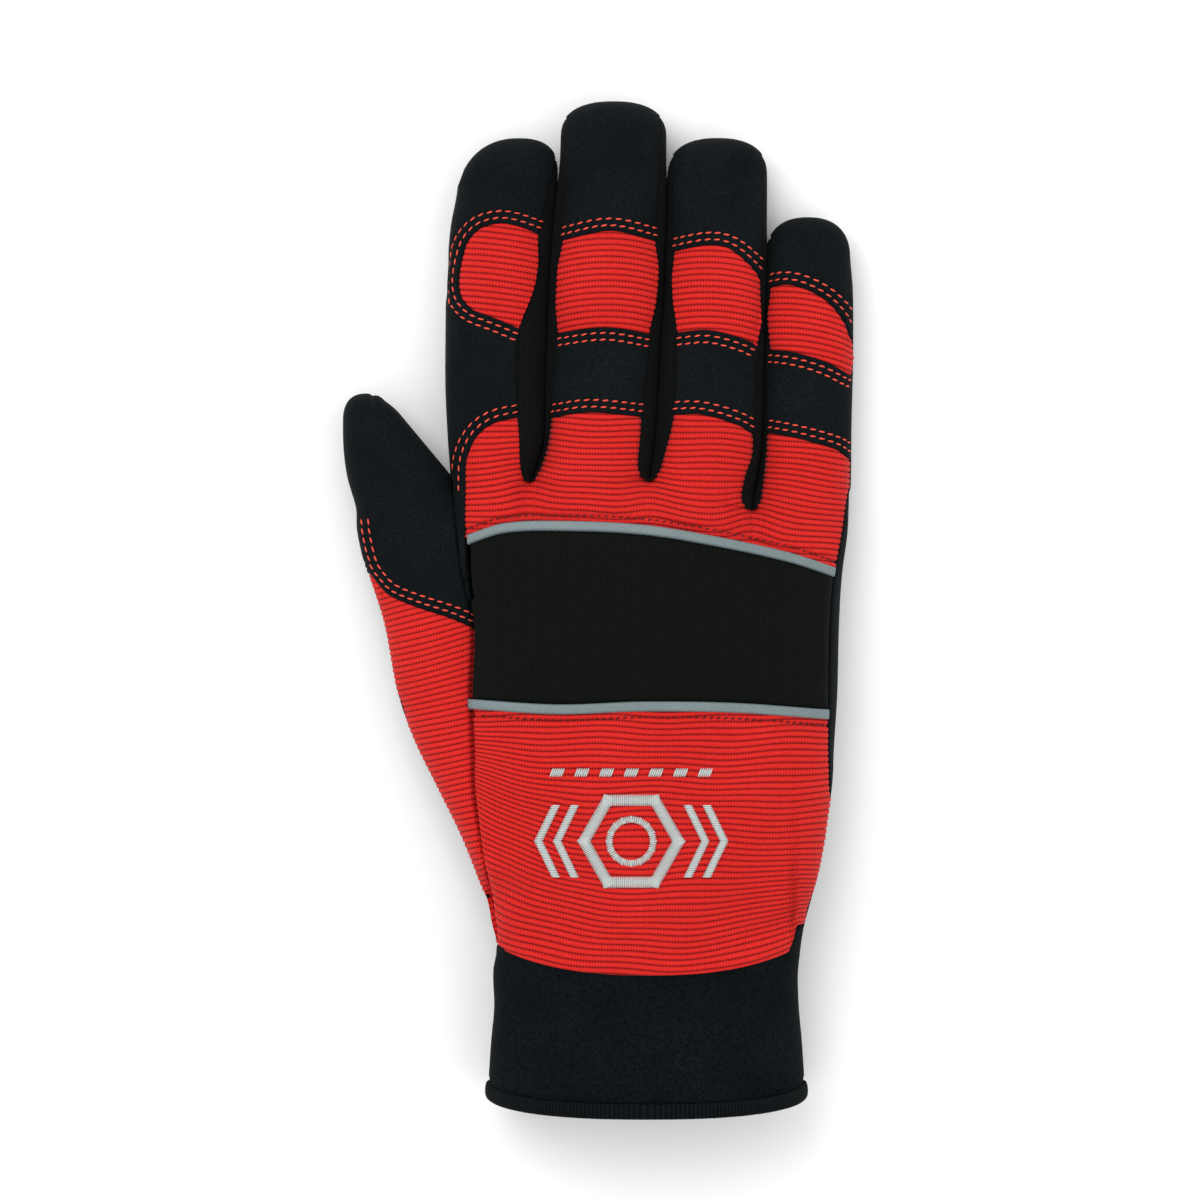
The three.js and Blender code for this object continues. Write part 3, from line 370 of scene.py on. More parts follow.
thumb_heights = smooth_table(["along", "top", "mid"], [
    [0, 0.94, 0.49],
    [0.3, 0.83, 0.46],
    [0.6, 0.7, 0.37],
    [0.85, 0.61, 0.31],
    [1, 0.5, 0.25],
])
root_curve = smooth_table(["across", "along"], [
    [-0.5, 1],
    [-0.3, 1],
    [-0.015, 1.004],
    [0.244, 0.941],
    [0.5, 0.94],
])
upper_piping_curve = smooth_table(["across", "along"], [
    [-0.457, 0.884],
    [-0.36, 0.909],
    [-0.21, 0.913],
    [-0.02, 0.905],
    [0.14, 0.884],
    [0.34, 0.848],
    [0.46, 0.816],
])
lower_piping_curve = smooth_table(["across", "along"], [
    [-0.44, 0.54],
    [-0.23, 0.53],
    [-0.02, 0.536],
    [0.21, 0.533],
    [0.44, 0.518],
])
thumb_leather_curve = smooth_table(["across", "along"], [
    [-0.7, 0.802],
    [-0.66, 0.763],
    [-0.635, 0.75],
    [-0.57, 0.729],
    [-0.5, 0.71],
    [-0.44, 0.689],
])
strip_widths = smooth_table(["along", "width"], [
    [0.72, 0.2],
    [0.8, 0.5],
    [0.87, 0.75],
    [1.02, 1],
    [1.05, 1],
])
window_edge = smooth_table(["along", "place"], [
    [0.035, -0.31],
    [0.15, -0.26],
    [0.4, -0.2],
    [0.475, -0.2],
    [0.496, -0.241],
    [0.513, -0.3],
    [0.534, -0.351],
    [0.56, -0.372],
    [0.581, -0.376],
    [0.62, -0.36],
    [0.657, -0.331],
    [0.69, -0.295],
    [0.714, -0.24],
    [0.74, -0.19],
    [0.82, -0.12],
    [1, -0.05],
])

STRIP_START = 0.745
WRAP_FULLNESS = 1.35
WRAP_CURVE = 1.06
WRAP_START = 0.33
WRAP_END = 0.985
THUMB_TIP_START = 0.955
THUMB_TIP_LEAN = 1.3
thumb_base = 0.04 * PALM_LENGTH
thumb_anchor = -0.625 * PALM_WIDTH
thumb_crotch = thumb_base + 0.848 * THUMB_LENGTH
thumb_tip_start = thumb_base + THUMB_TIP_START * THUMB_LENGTH
gusset_start = thumb_base + 0.07 * THUMB_LENGTH

# Where the sewing frame lies in the object's own frame

SHIFT_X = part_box("palm")[0][0] / MM - (INDEX.centre - 0.5 * INDEX.width)
SHIFT_Y = cad_bounds[1][1] / MM - MIDDLE.at(1)


# Outlines and surfaces of the hand

def across_from(left, right, x):
    """Where x lies between two edges, from -1 at the left one to 1 at the right one."""
    return (2 * x - left - right) / (right - left)


def palm_edge(side, y):
    y = np.asarray(y, dtype=float)
    width = mix(WRIST_WIDTH, PALM_WIDTH, ease(y / WRIST_TAPER))
    flare = cuff_edges(side, -y / CUFF_LENGTH) * CUFF_FLARE
    return palm_edges(side, y / PALM_LENGTH) * width + np.where(y < 0, flare, 0)


def along_thumb(y):
    return (y - thumb_base) / THUMB_LENGTH


def thumb_left(y):
    return thumb_anchor + thumb_edges("left", np.clip(along_thumb(y), 0, THUMB_TIP_START)) * THUMB_WIDTH


def thumb_right(y):
    share = np.clip((y - thumb_crotch) / (thumb_tip_start - thumb_crotch), 0, THUMB_TIP_LEAN)
    above = mix(palm_edge("left", thumb_crotch) - THUMB_SEAM_GAP, thumb_anchor + 0.02 * THUMB_WIDTH, share)
    return np.where(y <= thumb_crotch, palm_edge("left", y) - THUMB_SEAM_GAP, above)


def thumb_hidden_edge(y):
    below = ease((thumb_crotch - y) / (1.6 * THUMB_OVERLAP))
    above = ease((y - thumb_base) / WRIST_TAPER)
    return thumb_right(y) + THUMB_OVERLAP * below * mix(THUMB_OVERLAP_LOW, 1, above)


def crown_at(room):
    return np.maximum(0, room) ** (1 / CROWN_POWER)


def tip_crown(left, right, x, along, tip_start):
    """The crown of a finger or the thumb: full along its middle, and 0 at its edges and its tip's end."""
    across = np.abs(across_from(left, right, x))
    tip = np.clip((along - tip_start) / (1 - tip_start), 0, 1)
    return crown_at(1 - across ** CROWN_POWER - tip ** CROWN_POWER)


def raised(side, mid, top, crown):
    upper = mid + (top - mid) * crown
    lower = np.maximum(0, mid - mid * SOLE_FULLNESS * crown)
    return np.where(side > 0, upper, lower)


def finger_surface(finger, side, x, y):
    along = finger.along(y)
    crown = tip_crown(finger.edge("leftEdge", y), finger.edge("rightEdge", y), x, along, finger.tip_start)
    top = FINGER_HEIGHT * finger.fullness * finger_heights("top", along)
    return raised(side, MID_SHARE * top, top, crown), crown


def thumb_surface(side, x, y):
    along = along_thumb(y)
    crown = tip_crown(thumb_left(y), thumb_hidden_edge(y), x, along, THUMB_TIP_START)
    top = thumb_heights("top", along) * PALM_HEIGHT
    mid = thumb_heights("mid", along) * PALM_HEIGHT
    return raised(side, mid, top, crown), crown


def closing_thumb(side, x, y):
    """The thumb's skin, brought to the palm's edge at its low end."""
    height, crown = thumb_surface(side, x, y)
    mid = palm_heights("mid", y / PALM_LENGTH) * PALM_HEIGHT
    return mix(mid, height, ease((y - gusset_start) / GUSSET_OPENING)), crown


def palm_surface(side, x, y):
    left = palm_edge("left", y)
    right = palm_edge("right", y)
    across = across_from(left, right, x)
    crown = crown_at(1 - np.abs(across) ** CROWN_POWER)
    top = palm_heights("top", y / PALM_LENGTH) * PALM_HEIGHT
    mid = palm_heights("mid", y / PALM_LENGTH) * PALM_HEIGHT
    plain = raised(side, mid, top, crown)
    edge = closing_thumb(side, left - THUMB_SEAM_GAP, y)[0]
    upper = edge + (top - edge) * crown
    lower = np.maximum(0, edge * (1 - SOLE_FULLNESS * crown))
    opened = np.where(side > 0, upper, lower)
    closed = (across > 0) | (y > thumb_crotch) | (y < gusset_start)
    return np.where(closed, plain, opened), crown


def palm_side(side, y):
    """The palm's left or right side, where its panels end a little inside its outline."""
    return mix(palm_edge("left", y), palm_edge("right", y), (1 + side * EDGE_REACH) / 2)


def root_y(x):
    return root_curve("along", x / PALM_WIDTH) * PALM_LENGTH


def hand_surface(finger, side, x, y):
    share = ease((root_y(x) + VALLEY_LEAD - y) / VALLEY_FADE)
    body, body_crown = palm_surface(side, x, y)
    own, own_crown = finger_surface(finger, side, x, y)
    return mix(own, body, share), mix(own_crown, body_crown, share)


def on_finger(finger):
    return lambda side, x, y: hand_surface(finger, side, x, y)


def unit(directions):
    return directions / np.linalg.norm(directions, axis=-1, keepdims=True)


def soften(row):
    """Draws the inner points of a row halfway to the middle of their neighbours."""
    row[1:-1] = (row[:-2] + 2 * row[1:-1] + row[2:]) / 4


def skin_points(surface, side, x, y):
    """Points of the skin at x, y and the directions that point out of the glove there."""
    height, crown = surface(side, x, y)
    step = SLOPE_STEP
    slope_x = (surface(side, x + step, y)[0] - surface(side, x - step, y)[0]) / (2 * step)
    slope_y = (surface(side, x, y + step)[0] - surface(side, x, y - step)[0]) / (2 * step)
    gentle = np.maximum(0, 1 - np.hypot(slope_x, slope_y))
    upright = side * np.clip(crown / EDGE_FADE + gentle, 0, 1)
    out = np.stack([-slope_x * side, -slope_y * side, upright * np.ones_like(slope_x)], axis=-1)
    return np.stack([x, y, height], axis=-1), unit(out)


# Panels: grids of points on the skin with a wall behind them

def level(y):
    """A cross line that runs straight over the glove."""
    return lambda x: y + 0 * x


def add_object(name, data):
    made = bpy.data.objects.new(name, data)
    bpy.context.scene.collection.objects.link(made)
    return made


def place_between(left, right, low, high, across, along):
    """x and y by their shares between two side lines and two cross lines."""
    y = mix(low(0 * along), high(0 * along), along)
    for _ in range(12):
        x = mix(left(y), right(y), across)
        y = mix(low(x), high(x), along)
    return x, y


def quads_of(rows, columns, flip=False, closed=False):
    """Corner numbers of a grid's quads; a closed grid joins its last column to its first."""
    starts = columns if closed else columns - 1
    row, column = np.meshgrid(np.arange(rows - 1), np.arange(starts), indexing="ij")
    after = (column + 1) % columns
    quads = np.stack([
        row * columns + column,
        row * columns + after,
        (row + 1) * columns + after,
        (row + 1) * columns + column,
    ], axis=-1)
    quads = quads.reshape(-1, 4)
    return quads[:, ::-1] if flip else quads


def only_used(quads, *arrays):
    """The quads with the points that none of them uses left out, of every array alike."""
    used = np.unique(quads)
    renumber = np.zeros(quads.max() + 1, dtype=int)
    renumber[used] = np.arange(len(used))
    return renumber[quads], *[array[used] for array in arrays]


def area_of(points, quads):
    a, b, c, d = (points[quads[:, i]] for i in range(4))
    return 0.5 * np.linalg.norm(np.cross(c - a, d - b), axis=1).sum()


def in_place(points):
    return (points + np.array([SHIFT_X, SHIFT_Y, 0])) * MM


def to_mesh(name, points, quads, uv, material):
    """A smooth mesh in the object's frame, from points in the sewing frame."""
    mesh = bpy.data.meshes.new(name)
    mesh.vertices.add(len(points))
    mesh.vertices.foreach_set("co", in_place(points).astype(np.float32).ravel())
    mesh.loops.add(quads.size)
    mesh.loops.foreach_set("vertex_index", quads.astype(np.int32).ravel())
    mesh.polygons.add(len(quads))
    mesh.polygons.foreach_set("loop_start", np.arange(0, quads.size, 4, dtype=np.int32))
    mesh.polygons.foreach_set("use_smooth", np.ones(len(quads), dtype=bool))
    mesh.update(calc_edges=True)
    layer = mesh.uv_layers.new(name="cut")
    layer.data.foreach_set("uv", uv[quads.ravel()].astype(np.float32).ravel())
    mesh.materials.append(material)
    return add_object(name, mesh)


def panel(name, points, out, quads, uv, wall, material):
    """A closed sheet: the outer skin, an inner skin one wall deeper, and rims along the free edges."""
    count = len(points)
    directed = np.concatenate([quads[:, [i, (i + 1) % 4]] for i in range(4)])
    codes = directed[:, 0] * count + directed[:, 1]
    back = directed[:, 1] * count + directed[:, 0]
    free = directed[~np.isin(codes, back)]
    rims = np.stack([free[:, 1], free[:, 0], free[:, 0] + count, free[:, 1] + count], axis=1)
    every = np.concatenate([quads, quads[:, ::-1] + count, rims])
    both = np.concatenate([points, points - out * wall])
    return to_mesh(f"{name}_sewn", both, every, np.concatenate([uv, uv]), material)


def shares(count, crowding=1.0, tip=False, ends=1.0):
    """Shares from 0 to 1, closer together at both ends, or at the far end of a finger's tip."""
    line = np.linspace(0, 1, count)
    if tip:
        return 1 - (1 - line) ** TIP_CROWDING
    if ends > 1:
        both = np.linspace(-1, 1, count)
        return (np.sign(both) * (1 - (1 - np.abs(both)) ** ends) + 1) / 2
    return mix((1 - np.cos(np.pi * line)) / 2, line, 1 - crowding)


def patch(name, material, surface, left, right, low, high, columns, rows, side=1, wall=LEATHER_WALL,
          tip=False, lift=None, ends=1.0, uv_of=None):
    """A panel between two side lines and two cross lines; lift gives its height over the skin."""
    across, along = np.meshgrid(shares(columns, 0.75), shares(rows, 0, tip, ends))
    x, y = place_between(left, right, low, high, across.ravel(), along.ravel())
    base, out = skin_points(surface, side, x, y)
    points = base if lift is None else base + out * lift(x, y)[:, None]
    quads = quads_of(rows, columns, flip=side < 0)
    uv = np.stack([x, y], axis=-1) if uv_of is None else uv_of(x, y)
    piece = panel(name, points, out, quads, uv, wall, material)
    return piece, cut_size(base, rows, columns, quads)


def cut_size(points, rows, columns, quads):
    """Width, length and area in metres of the flat cut that a panel's skin was sewn from."""
    grid = points.reshape(rows, columns, 3)
    width = np.linalg.norm(np.diff(grid, axis=1), axis=2).sum(axis=1).max()
    length = np.linalg.norm(np.diff(grid, axis=0), axis=2).sum(axis=0).max()
    return width * MM, length * MM, min(area_of(points, quads), width * length) * MM * MM


def sewn(piece, node, cut=None):
    """The piece rides on the glove and stands for its node, whose part is hidden; its cut is not used."""
    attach(piece, "root")
    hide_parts(node)
    return piece


# Edges and the way cloth behaves beside them

def edge_roll(distance, radius):
    """From 1 at an edge to 0 a radius inside it, as a rounded edge falls away."""
    inside = np.clip(1 - distance / radius, 0, 1)
    return 1 - np.sqrt(1 - inside ** 2)


def above(curve):
    """Distance above a cross line, square to it."""
    def distance(x, y):
        slope = (curve(x + SLOPE_STEP) - curve(x - SLOPE_STEP)) / (2 * SLOPE_STEP)
        return (y - curve(x)) / np.hypot(1, slope)
    return distance


def below(curve):
    return lambda x, y: -above(curve)(x, y)


def from_line(line):
    """Distance from a line of points."""
    def distance(x, y):
        nearest = np.full(np.shape(x), np.inf)
        for start, end in zip(line[:-1], line[1:]):
            run = end - start
            share = np.clip(((x - start[0]) * run[0] + (y - start[1]) * run[1]) / (run @ run), 0, 1)
            gap = np.hypot(x - start[0] - share * run[0], y - start[1] - share * run[1])
            nearest = np.minimum(nearest, gap)
        return nearest
    return distance


def leather_lift(*edges):
    """Height of leather over the skin: rolled down at its free edges and drawn in along its stitches."""
    def lift(x, y):
        distance = np.minimum.reduce([edge(x, y) for edge in edges])
        drawn = sum(np.exp(-((distance - row) / STITCH_PULL_WIDTH) ** 2) for row in STITCH_ROWS)
        rise = LEATHER_RISE * (1 - edge_roll(distance, 2 * LEATHER_RISE))
        return rise - LEATHER_SINK - STITCH_PULL * drawn
    return lift


def under_leather(distance):
    """How far knit drops where leather lies over its edge, which is at distance 0."""
    return KNIT_DROP * (1 - ease((distance + 0.6) / 1.2))


def rib_height(line):
    """Height of the knit's ribs, rounded with narrow grooves, at a distance counted across them."""
    return RIB_HEIGHT * (1 - np.abs(2 * ((line / RIB_PITCH) % 1) - 1) ** 2.6)


def folds(rows):
    """Soft hollows: place, turn in degrees, half length, half width and depth of each."""
    def depth(x, y):
        total = 0 * x
        for fold_x, fold_y, turn, length, width, deep in rows:
            angle = math.radians(turn)
            run = (x - fold_x) * math.cos(angle) + (y - fold_y) * math.sin(angle)
            off = (y - fold_y) * math.cos(angle) - (x - fold_x) * math.sin(angle)
            total = total + deep * np.exp(-(run / length) ** 2 - (off / width) ** 2)
        return total
    return depth


# Shader groups

def link(tree, start, end):
    tree.links.new(start, end)


def add_node(tree, kind, inputs=None, **settings):
    node = tree.nodes.new(kind)
    for name, value in settings.items():
        setattr(node, name, value)
    for name, value in (inputs or {}).items():
        if isinstance(value, bpy.types.NodeSocket):
            link(tree, value, node.inputs[name])
        else:
            node.inputs[name].default_value = value
    return node


def maths(tree, operation, *values):
    return add_node(tree, "ShaderNodeMath", dict(enumerate(values)), operation=operation).outputs[0]


def shader_group(name, inputs, outputs):
    group = bpy.data.node_groups.new(name, "ShaderNodeTree")
    for label, value in inputs.items():
        socket = group.interface.new_socket(label, in_out="INPUT", socket_type="NodeSocketFloat")
        socket.default_value = value
    for label in outputs:
        group.interface.new_socket(label, in_out="OUTPUT", socket_type="NodeSocketFloat")
    entry = group.nodes.new("NodeGroupInput")
    leave = group.nodes.new("NodeGroupOutput")
    return group, entry, leave


def turned_share(tree, place, pitch):
    """An angle that turns once for each pitch."""
    return maths(tree, "MULTIPLY", maths(tree, "DIVIDE", place, pitch), math.tau)


def rib_group():
    """Grooves between knitted ribs, with small holes along them and the twist of the yarn over the ribs. The
    groove output is painted shade: it darkens the colour in the grooves, in their holes and where the yarn's
    twist dips.
    """
    group, entry, leave = shader_group("knitted ribs", {"Pitch": 1.5, "Stitch": 0.5}, ["Groove", "Height"])
    cut = add_node(group, "ShaderNodeUVMap", uv_map="cut")
    split = add_node(group, "ShaderNodeSeparateXYZ", {0: cut.outputs[0]})
    count = maths(group, "DIVIDE", split.outputs["Y"], entry.outputs["Pitch"])
    rib = maths(group, "MULTIPLY", maths(group, "FRACT", count), 2.0)
    rib = maths(group, "ABSOLUTE", maths(group, "SUBTRACT", rib, 1.0))
    line = maths(group, "MULTIPLY", maths(group, "POWER", rib, 3.6), 1.55)
    line = maths(group, "SMOOTH_MIN", line, 1.0, 0.1)
    turn = turned_share(group, split.outputs["X"], entry.outputs["Stitch"])
    hole = maths(group, "MULTIPLY_ADD", maths(group, "SINE", turn), 0.5, 0.5)
    twisted = maths(group, "ADD", turn, maths(group, "MULTIPLY", count, 0.6 * math.tau))
    twist = maths(group, "MULTIPLY_ADD", maths(group, "SINE", twisted), 0.5, 0.5)
    dotted_shade = maths(group, "MULTIPLY", line, maths(group, "MULTIPLY_ADD", hole, 0.66, 0.34))
    # Painted shade: darkest in the grooves and their holes, with faint shade where the yarn's twist dips
    groove_shade = maths(group, "MAXIMUM", dotted_shade, maths(group, "MULTIPLY", twist, 0.2))
    height = maths(group, "MULTIPLY_ADD", twist, -0.4, maths(group, "SUBTRACT", 1.0, line))
    link(group, groove_shade, leave.inputs["Groove"])
    link(group, height, leave.inputs["Height"])
    return group


def grain_group():
    """Fine fibre with larger soft patches, as brushed leather or fleece has."""
    group, entry, leave = shader_group("fibre grain", {"Fibre": 1800.0, "Patch": 60.0},
                                       ["Tone", "Wear", "Height"])
    place = add_node(group, "ShaderNodeTexCoord")
    fine = add_node(group, "ShaderNodeTexNoise", {"Vector": place.outputs["Object"],
                                                  "Scale": entry.outputs["Fibre"], "Detail": 3.0,
                                                  "Roughness": 0.7})
    soft = add_node(group, "ShaderNodeTexNoise", {"Vector": place.outputs["Object"],
                                                  "Scale": entry.outputs["Patch"], "Detail": 2.0})
    tone = maths(group, "MULTIPLY_ADD", fine.outputs["Fac"], 2.4, -0.7)
    link(group, add_node(group, "ShaderNodeClamp", {0: tone}).outputs[0], leave.inputs["Tone"])
    link(group, soft.outputs["Fac"], leave.inputs["Wear"])
    link(group, fine.outputs["Fac"], leave.inputs["Height"])
    return group


def wale_group():
    """Fine knit wales that run along a cut, with short courses across them. The tone follows their height,
    so the colour is darker in the hollows between them: painted shade.
    """
    group, entry, leave = shader_group("fine wales", {"Wale": 0.36, "Course": 0.5}, ["Tone", "Height"])
    cut = add_node(group, "ShaderNodeUVMap", uv_map="cut")
    split = add_node(group, "ShaderNodeSeparateXYZ", {0: cut.outputs[0]})
    across = turned_share(group, split.outputs["X"], entry.outputs["Wale"])
    along = turned_share(group, split.outputs["Y"], entry.outputs["Course"])
    wale = maths(group, "MULTIPLY_ADD", maths(group, "SINE", across), 0.5, 0.5)
    course = maths(group, "MULTIPLY_ADD", maths(group, "SINE", along), 0.5, 0.5)
    height = maths(group, "MULTIPLY_ADD", course, 0.3, wale)
    # The tone is the height scaled: painted shade in the hollows between wales and courses
    link(group, maths(group, "MULTIPLY", height, 0.77), leave.inputs["Tone"])
    link(group, height, leave.inputs["Height"])
    return group


RIBS = rib_group()
GRAIN = grain_group()
WALES = wale_group()


def start_material(name, roughness, specular, sheen, sheen_colour=(1, 1, 1)):
    material = bpy.data.materials.new(name)
    material.use_nodes = True
    shader = material.node_tree.nodes["Principled BSDF"]
    shader.inputs["Roughness"].default_value = roughness
    shader.inputs["Specular IOR Level"].default_value = specular
    shader.inputs["Sheen Weight"].default_value = sheen
    shader.inputs["Sheen Roughness"].default_value = 0.5
    shader.inputs["Sheen Tint"].default_value = (*sheen_colour, 1)
    return material, material.node_tree, shader


def placed(tree, group, **values):
    node = tree.nodes.new("ShaderNodeGroup")
    node.node_tree = group
    for name, value in values.items():
        node.inputs[name].default_value = value
    return node


def blend_colour(tree, share, low, high):
    node = tree.nodes.new("ShaderNodeMix")
    node.data_type = "RGBA"
    link(tree, share, node.inputs["Factor"])
    for name, value in (("A", low), ("B", high)):
        socket = next(s for s in node.inputs if s.name == name and s.type == "RGBA")
        if isinstance(value, bpy.types.NodeSocket):
            link(tree, value, socket)
        else:
            socket.default_value = (*value, 1)
    return next(s for s in node.outputs if s.type == "RGBA")


def bumped(tree, shader, height, distance, strength=1.0, under=None):
    bump = add_node(tree, "ShaderNodeBump", {"Height": height, "Distance": distance, "Strength": strength})
    if under is not None:
        link(tree, under, bump.inputs["Normal"])
    link(tree, bump.outputs["Normal"], shader.inputs["Normal"])
    return bump.outputs["Normal"]


def fibre_material(name, low, high, fibre, distance, roughness, specular, sheen):
    """Brushed leather or fleece: dark fibre with paler tips and soft worn patches."""
    material, tree, shader = start_material(name, roughness, specular, sheen)
    grain = placed(tree, GRAIN, Fibre=fibre, Patch=70.0)
    patches = maths(tree, "MULTIPLY_ADD", grain.outputs["Wear"], 1.4, 0.3)
    worn = maths(tree, "MULTIPLY", grain.outputs["Tone"], patches)
    link(tree, blend_colour(tree, worn, low, high), shader.inputs["Base Color"])
    bumped(tree, shader, grain.outputs["Height"], distance)
    return material


def wale_material(name, low, high, wale, course, distance, roughness, specular, sheen):
    """Fine dark knit over foam or lining, its colour darkened in the hollows between its wales and courses:
    painted shade.
    """
    material, tree, shader = start_material(name, roughness, specular, sheen)
    wales = placed(tree, WALES, Wale=wale, Course=course)
    grain = placed(tree, GRAIN, Fibre=1500.0, Patch=60.0)
    fibres = maths(tree, "MULTIPLY_ADD", grain.outputs["Tone"], 0.9, 0.4)
    tone = maths(tree, "MULTIPLY", wales.outputs["Tone"], fibres)
    link(tree, blend_colour(tree, tone, low, high), shader.inputs["Base Color"])
    fibre = bumped(tree, shader, grain.outputs["Height"], 0.00006)
    bumped(tree, shader, wales.outputs["Height"], distance, under=fibre)
    return material


def red_material():
    material, tree, shader = start_material("ribbed red knit", 0.8, 0.12, 0.06, (1, 0.5, 0.45))
    ribs = placed(tree, RIBS, Pitch=RIB_PITCH, Stitch=STITCH_PITCH)
    grain = placed(tree, GRAIN, Fibre=1400.0, Patch=45.0)
    tone = maths(tree, "MULTIPLY_ADD", grain.outputs["Tone"], 0.5, maths(
        tree, "MULTIPLY", grain.outputs["Wear"], 0.5))
    yarn = blend_colour(tree, tone, RED_DEEP, RED_BRIGHT)
    # The groove output darkens the yarn towards near black: painted shade in the grooves, their holes and
    # the dips of the yarn's twist
    link(tree, blend_colour(tree, ribs.outputs["Groove"], yarn, RED_GROOVE_SHADE), shader.inputs["Base Color"])
    fibre = bumped(tree, shader, grain.outputs["Height"], 0.00005)
    bumped(tree, shader, ribs.outputs["Height"], 0.0002, under=fibre)
    return material


def thread_material(name, low, high, roughness, sheen):
    material, tree, shader = start_material(name, roughness, 0.3, sheen)
    grain = placed(tree, GRAIN, Fibre=2600.0, Patch=300.0)
    link(tree, blend_colour(tree, grain.outputs["Tone"], low, high), shader.inputs["Base Color"])
    bumped(tree, shader, grain.outputs["Height"], 0.00004)
    return material


RED_BRIGHT = (0.78, 0.024, 0.019)
RED_DEEP = (0.55, 0.012, 0.010)
# Near-black red painted into the grooves between the ribs: painted shade
RED_GROOVE_SHADE = (0.06, 0.0008, 0.0012)
leather = fibre_material("brushed leather", (0.0012, 0.0018, 0.0022), (0.0062, 0.0092, 0.0108),
                         1900.0, 0.0001, 0.85, 0.06, 0.008)
fleece = fibre_material("loop fleece", (0.001, 0.0016, 0.002), (0.0052, 0.0082, 0.0095), 1300.0, 0.00025,
                        0.95, 0.05, 0.01)
stretch = wale_material("stretch knit", (0.001, 0.001, 0.0012), (0.0062, 0.0064, 0.0066), 0.5, 0.6, 0.0001,
                        0.9, 0.08, 0.01)
neoprene = wale_material("wale knit over foam", (0.0012, 0.0015, 0.0013), (0.0062, 0.0076, 0.0066),
                         0.42, 0.5, 0.00006, 0.85, 0.06, 0.008)
reflective = fibre_material("reflective tape", (0.115, 0.15, 0.157), (0.175, 0.22, 0.228), 2600.0, 0.00003,
                            0.45, 0.4, 0.0)
binding_knit = wale_material("ribbed binding", (0.001, 0.0015, 0.002), (0.0062, 0.0092, 0.0108),
                             0.8, 9.0, 0.0002, 0.9, 0.06, 0.01)
red_knit = red_material()
red_thread = thread_material("seam thread", (0.62, 0.035, 0.018), (0.86, 0.09, 0.045), 0.55, 0.1)
lock_thread = thread_material("red lock thread", (0.05, 0.001, 0.001), (0.16, 0.004, 0.003), 0.7, 0.0)
satin_thread = thread_material("satin thread", (0.36, 0.39, 0.38), (0.56, 0.6, 0.585), 0.4, 0.1)


# Threads along paths

def thread_tree():
    """Geometry nodes that lay a short rounded thread at even steps along a path's edges."""
    tree = bpy.data.node_groups.new("threads along a path", "GeometryNodeTree")
    face = tree.interface
    face.new_socket("Path", in_out="INPUT", socket_type="NodeSocketGeometry")
    for label, value in (("Spacing", 0.0024), ("Radius", 0.0003), ("Flatness", 0.7)):
        face.new_socket(label, in_out="INPUT", socket_type="NodeSocketFloat").default_value = value
    face.new_socket("Thread", in_out="INPUT", socket_type="NodeSocketMaterial")
    face.new_socket("Threads", in_out="OUTPUT", socket_type="NodeSocketGeometry")
    entry = tree.nodes.new("NodeGroupInput")
    leave = tree.nodes.new("NodeGroupOutput")
    curve = add_node(tree, "GeometryNodeMeshToCurve", {"Mesh": entry.outputs["Path"]})
    steps = add_node(tree, "GeometryNodeResampleCurve", {"Curve": curve.outputs[0],
                                                         "Length": entry.outputs["Spacing"]}, mode="LENGTH")
    way = add_node(tree, "GeometryNodeInputNamedAttribute", {"Name": "way"}, data_type="FLOAT_VECTOR")
    long = add_node(tree, "GeometryNodeInputNamedAttribute", {"Name": "long"}, data_type="FLOAT")
    turn = add_node(tree, "FunctionNodeAlignRotationToVector", {"Vector": way.outputs[0]}, axis="X")
    flat = add_node(tree, "ShaderNodeMath", {0: entry.outputs["Radius"], 1: entry.outputs["Flatness"]},
                    operation="MULTIPLY")
    half = add_node(tree, "ShaderNodeMath", {0: long.outputs[0], 1: 0.5}, operation="MULTIPLY")
    size = add_node(tree, "ShaderNodeCombineXYZ", {"X": half.outputs[0], "Y": entry.outputs["Radius"],
                                                   "Z": flat.outputs[0]})
    ball = add_node(tree, "GeometryNodeMeshUVSphere", {"Segments": 8, "Rings": 5, "Radius": 1.0})
    lying = add_node(tree, "GeometryNodeTransform", {"Geometry": ball.outputs["Mesh"],
                                                     "Rotation": (0.0, math.pi / 2, 0.0)})
    each = add_node(tree, "GeometryNodeInstanceOnPoints", {"Points": steps.outputs[0],
                                                           "Instance": lying.outputs[0],
                                                           "Rotation": turn.outputs[0],
                                                           "Scale": size.outputs[0]})
    whole = add_node(tree, "GeometryNodeRealizeInstances", {"Geometry": each.outputs[0]})
    smooth = add_node(tree, "GeometryNodeSetShadeSmooth", {"Geometry": whole.outputs[0]})
    finish = add_node(tree, "GeometryNodeSetMaterial", {"Geometry": smooth.outputs[0],
                                                        "Material": entry.outputs["Thread"]})
    link(tree, finish.outputs[0], leave.inputs["Threads"])
    return tree


THREADS = thread_tree()


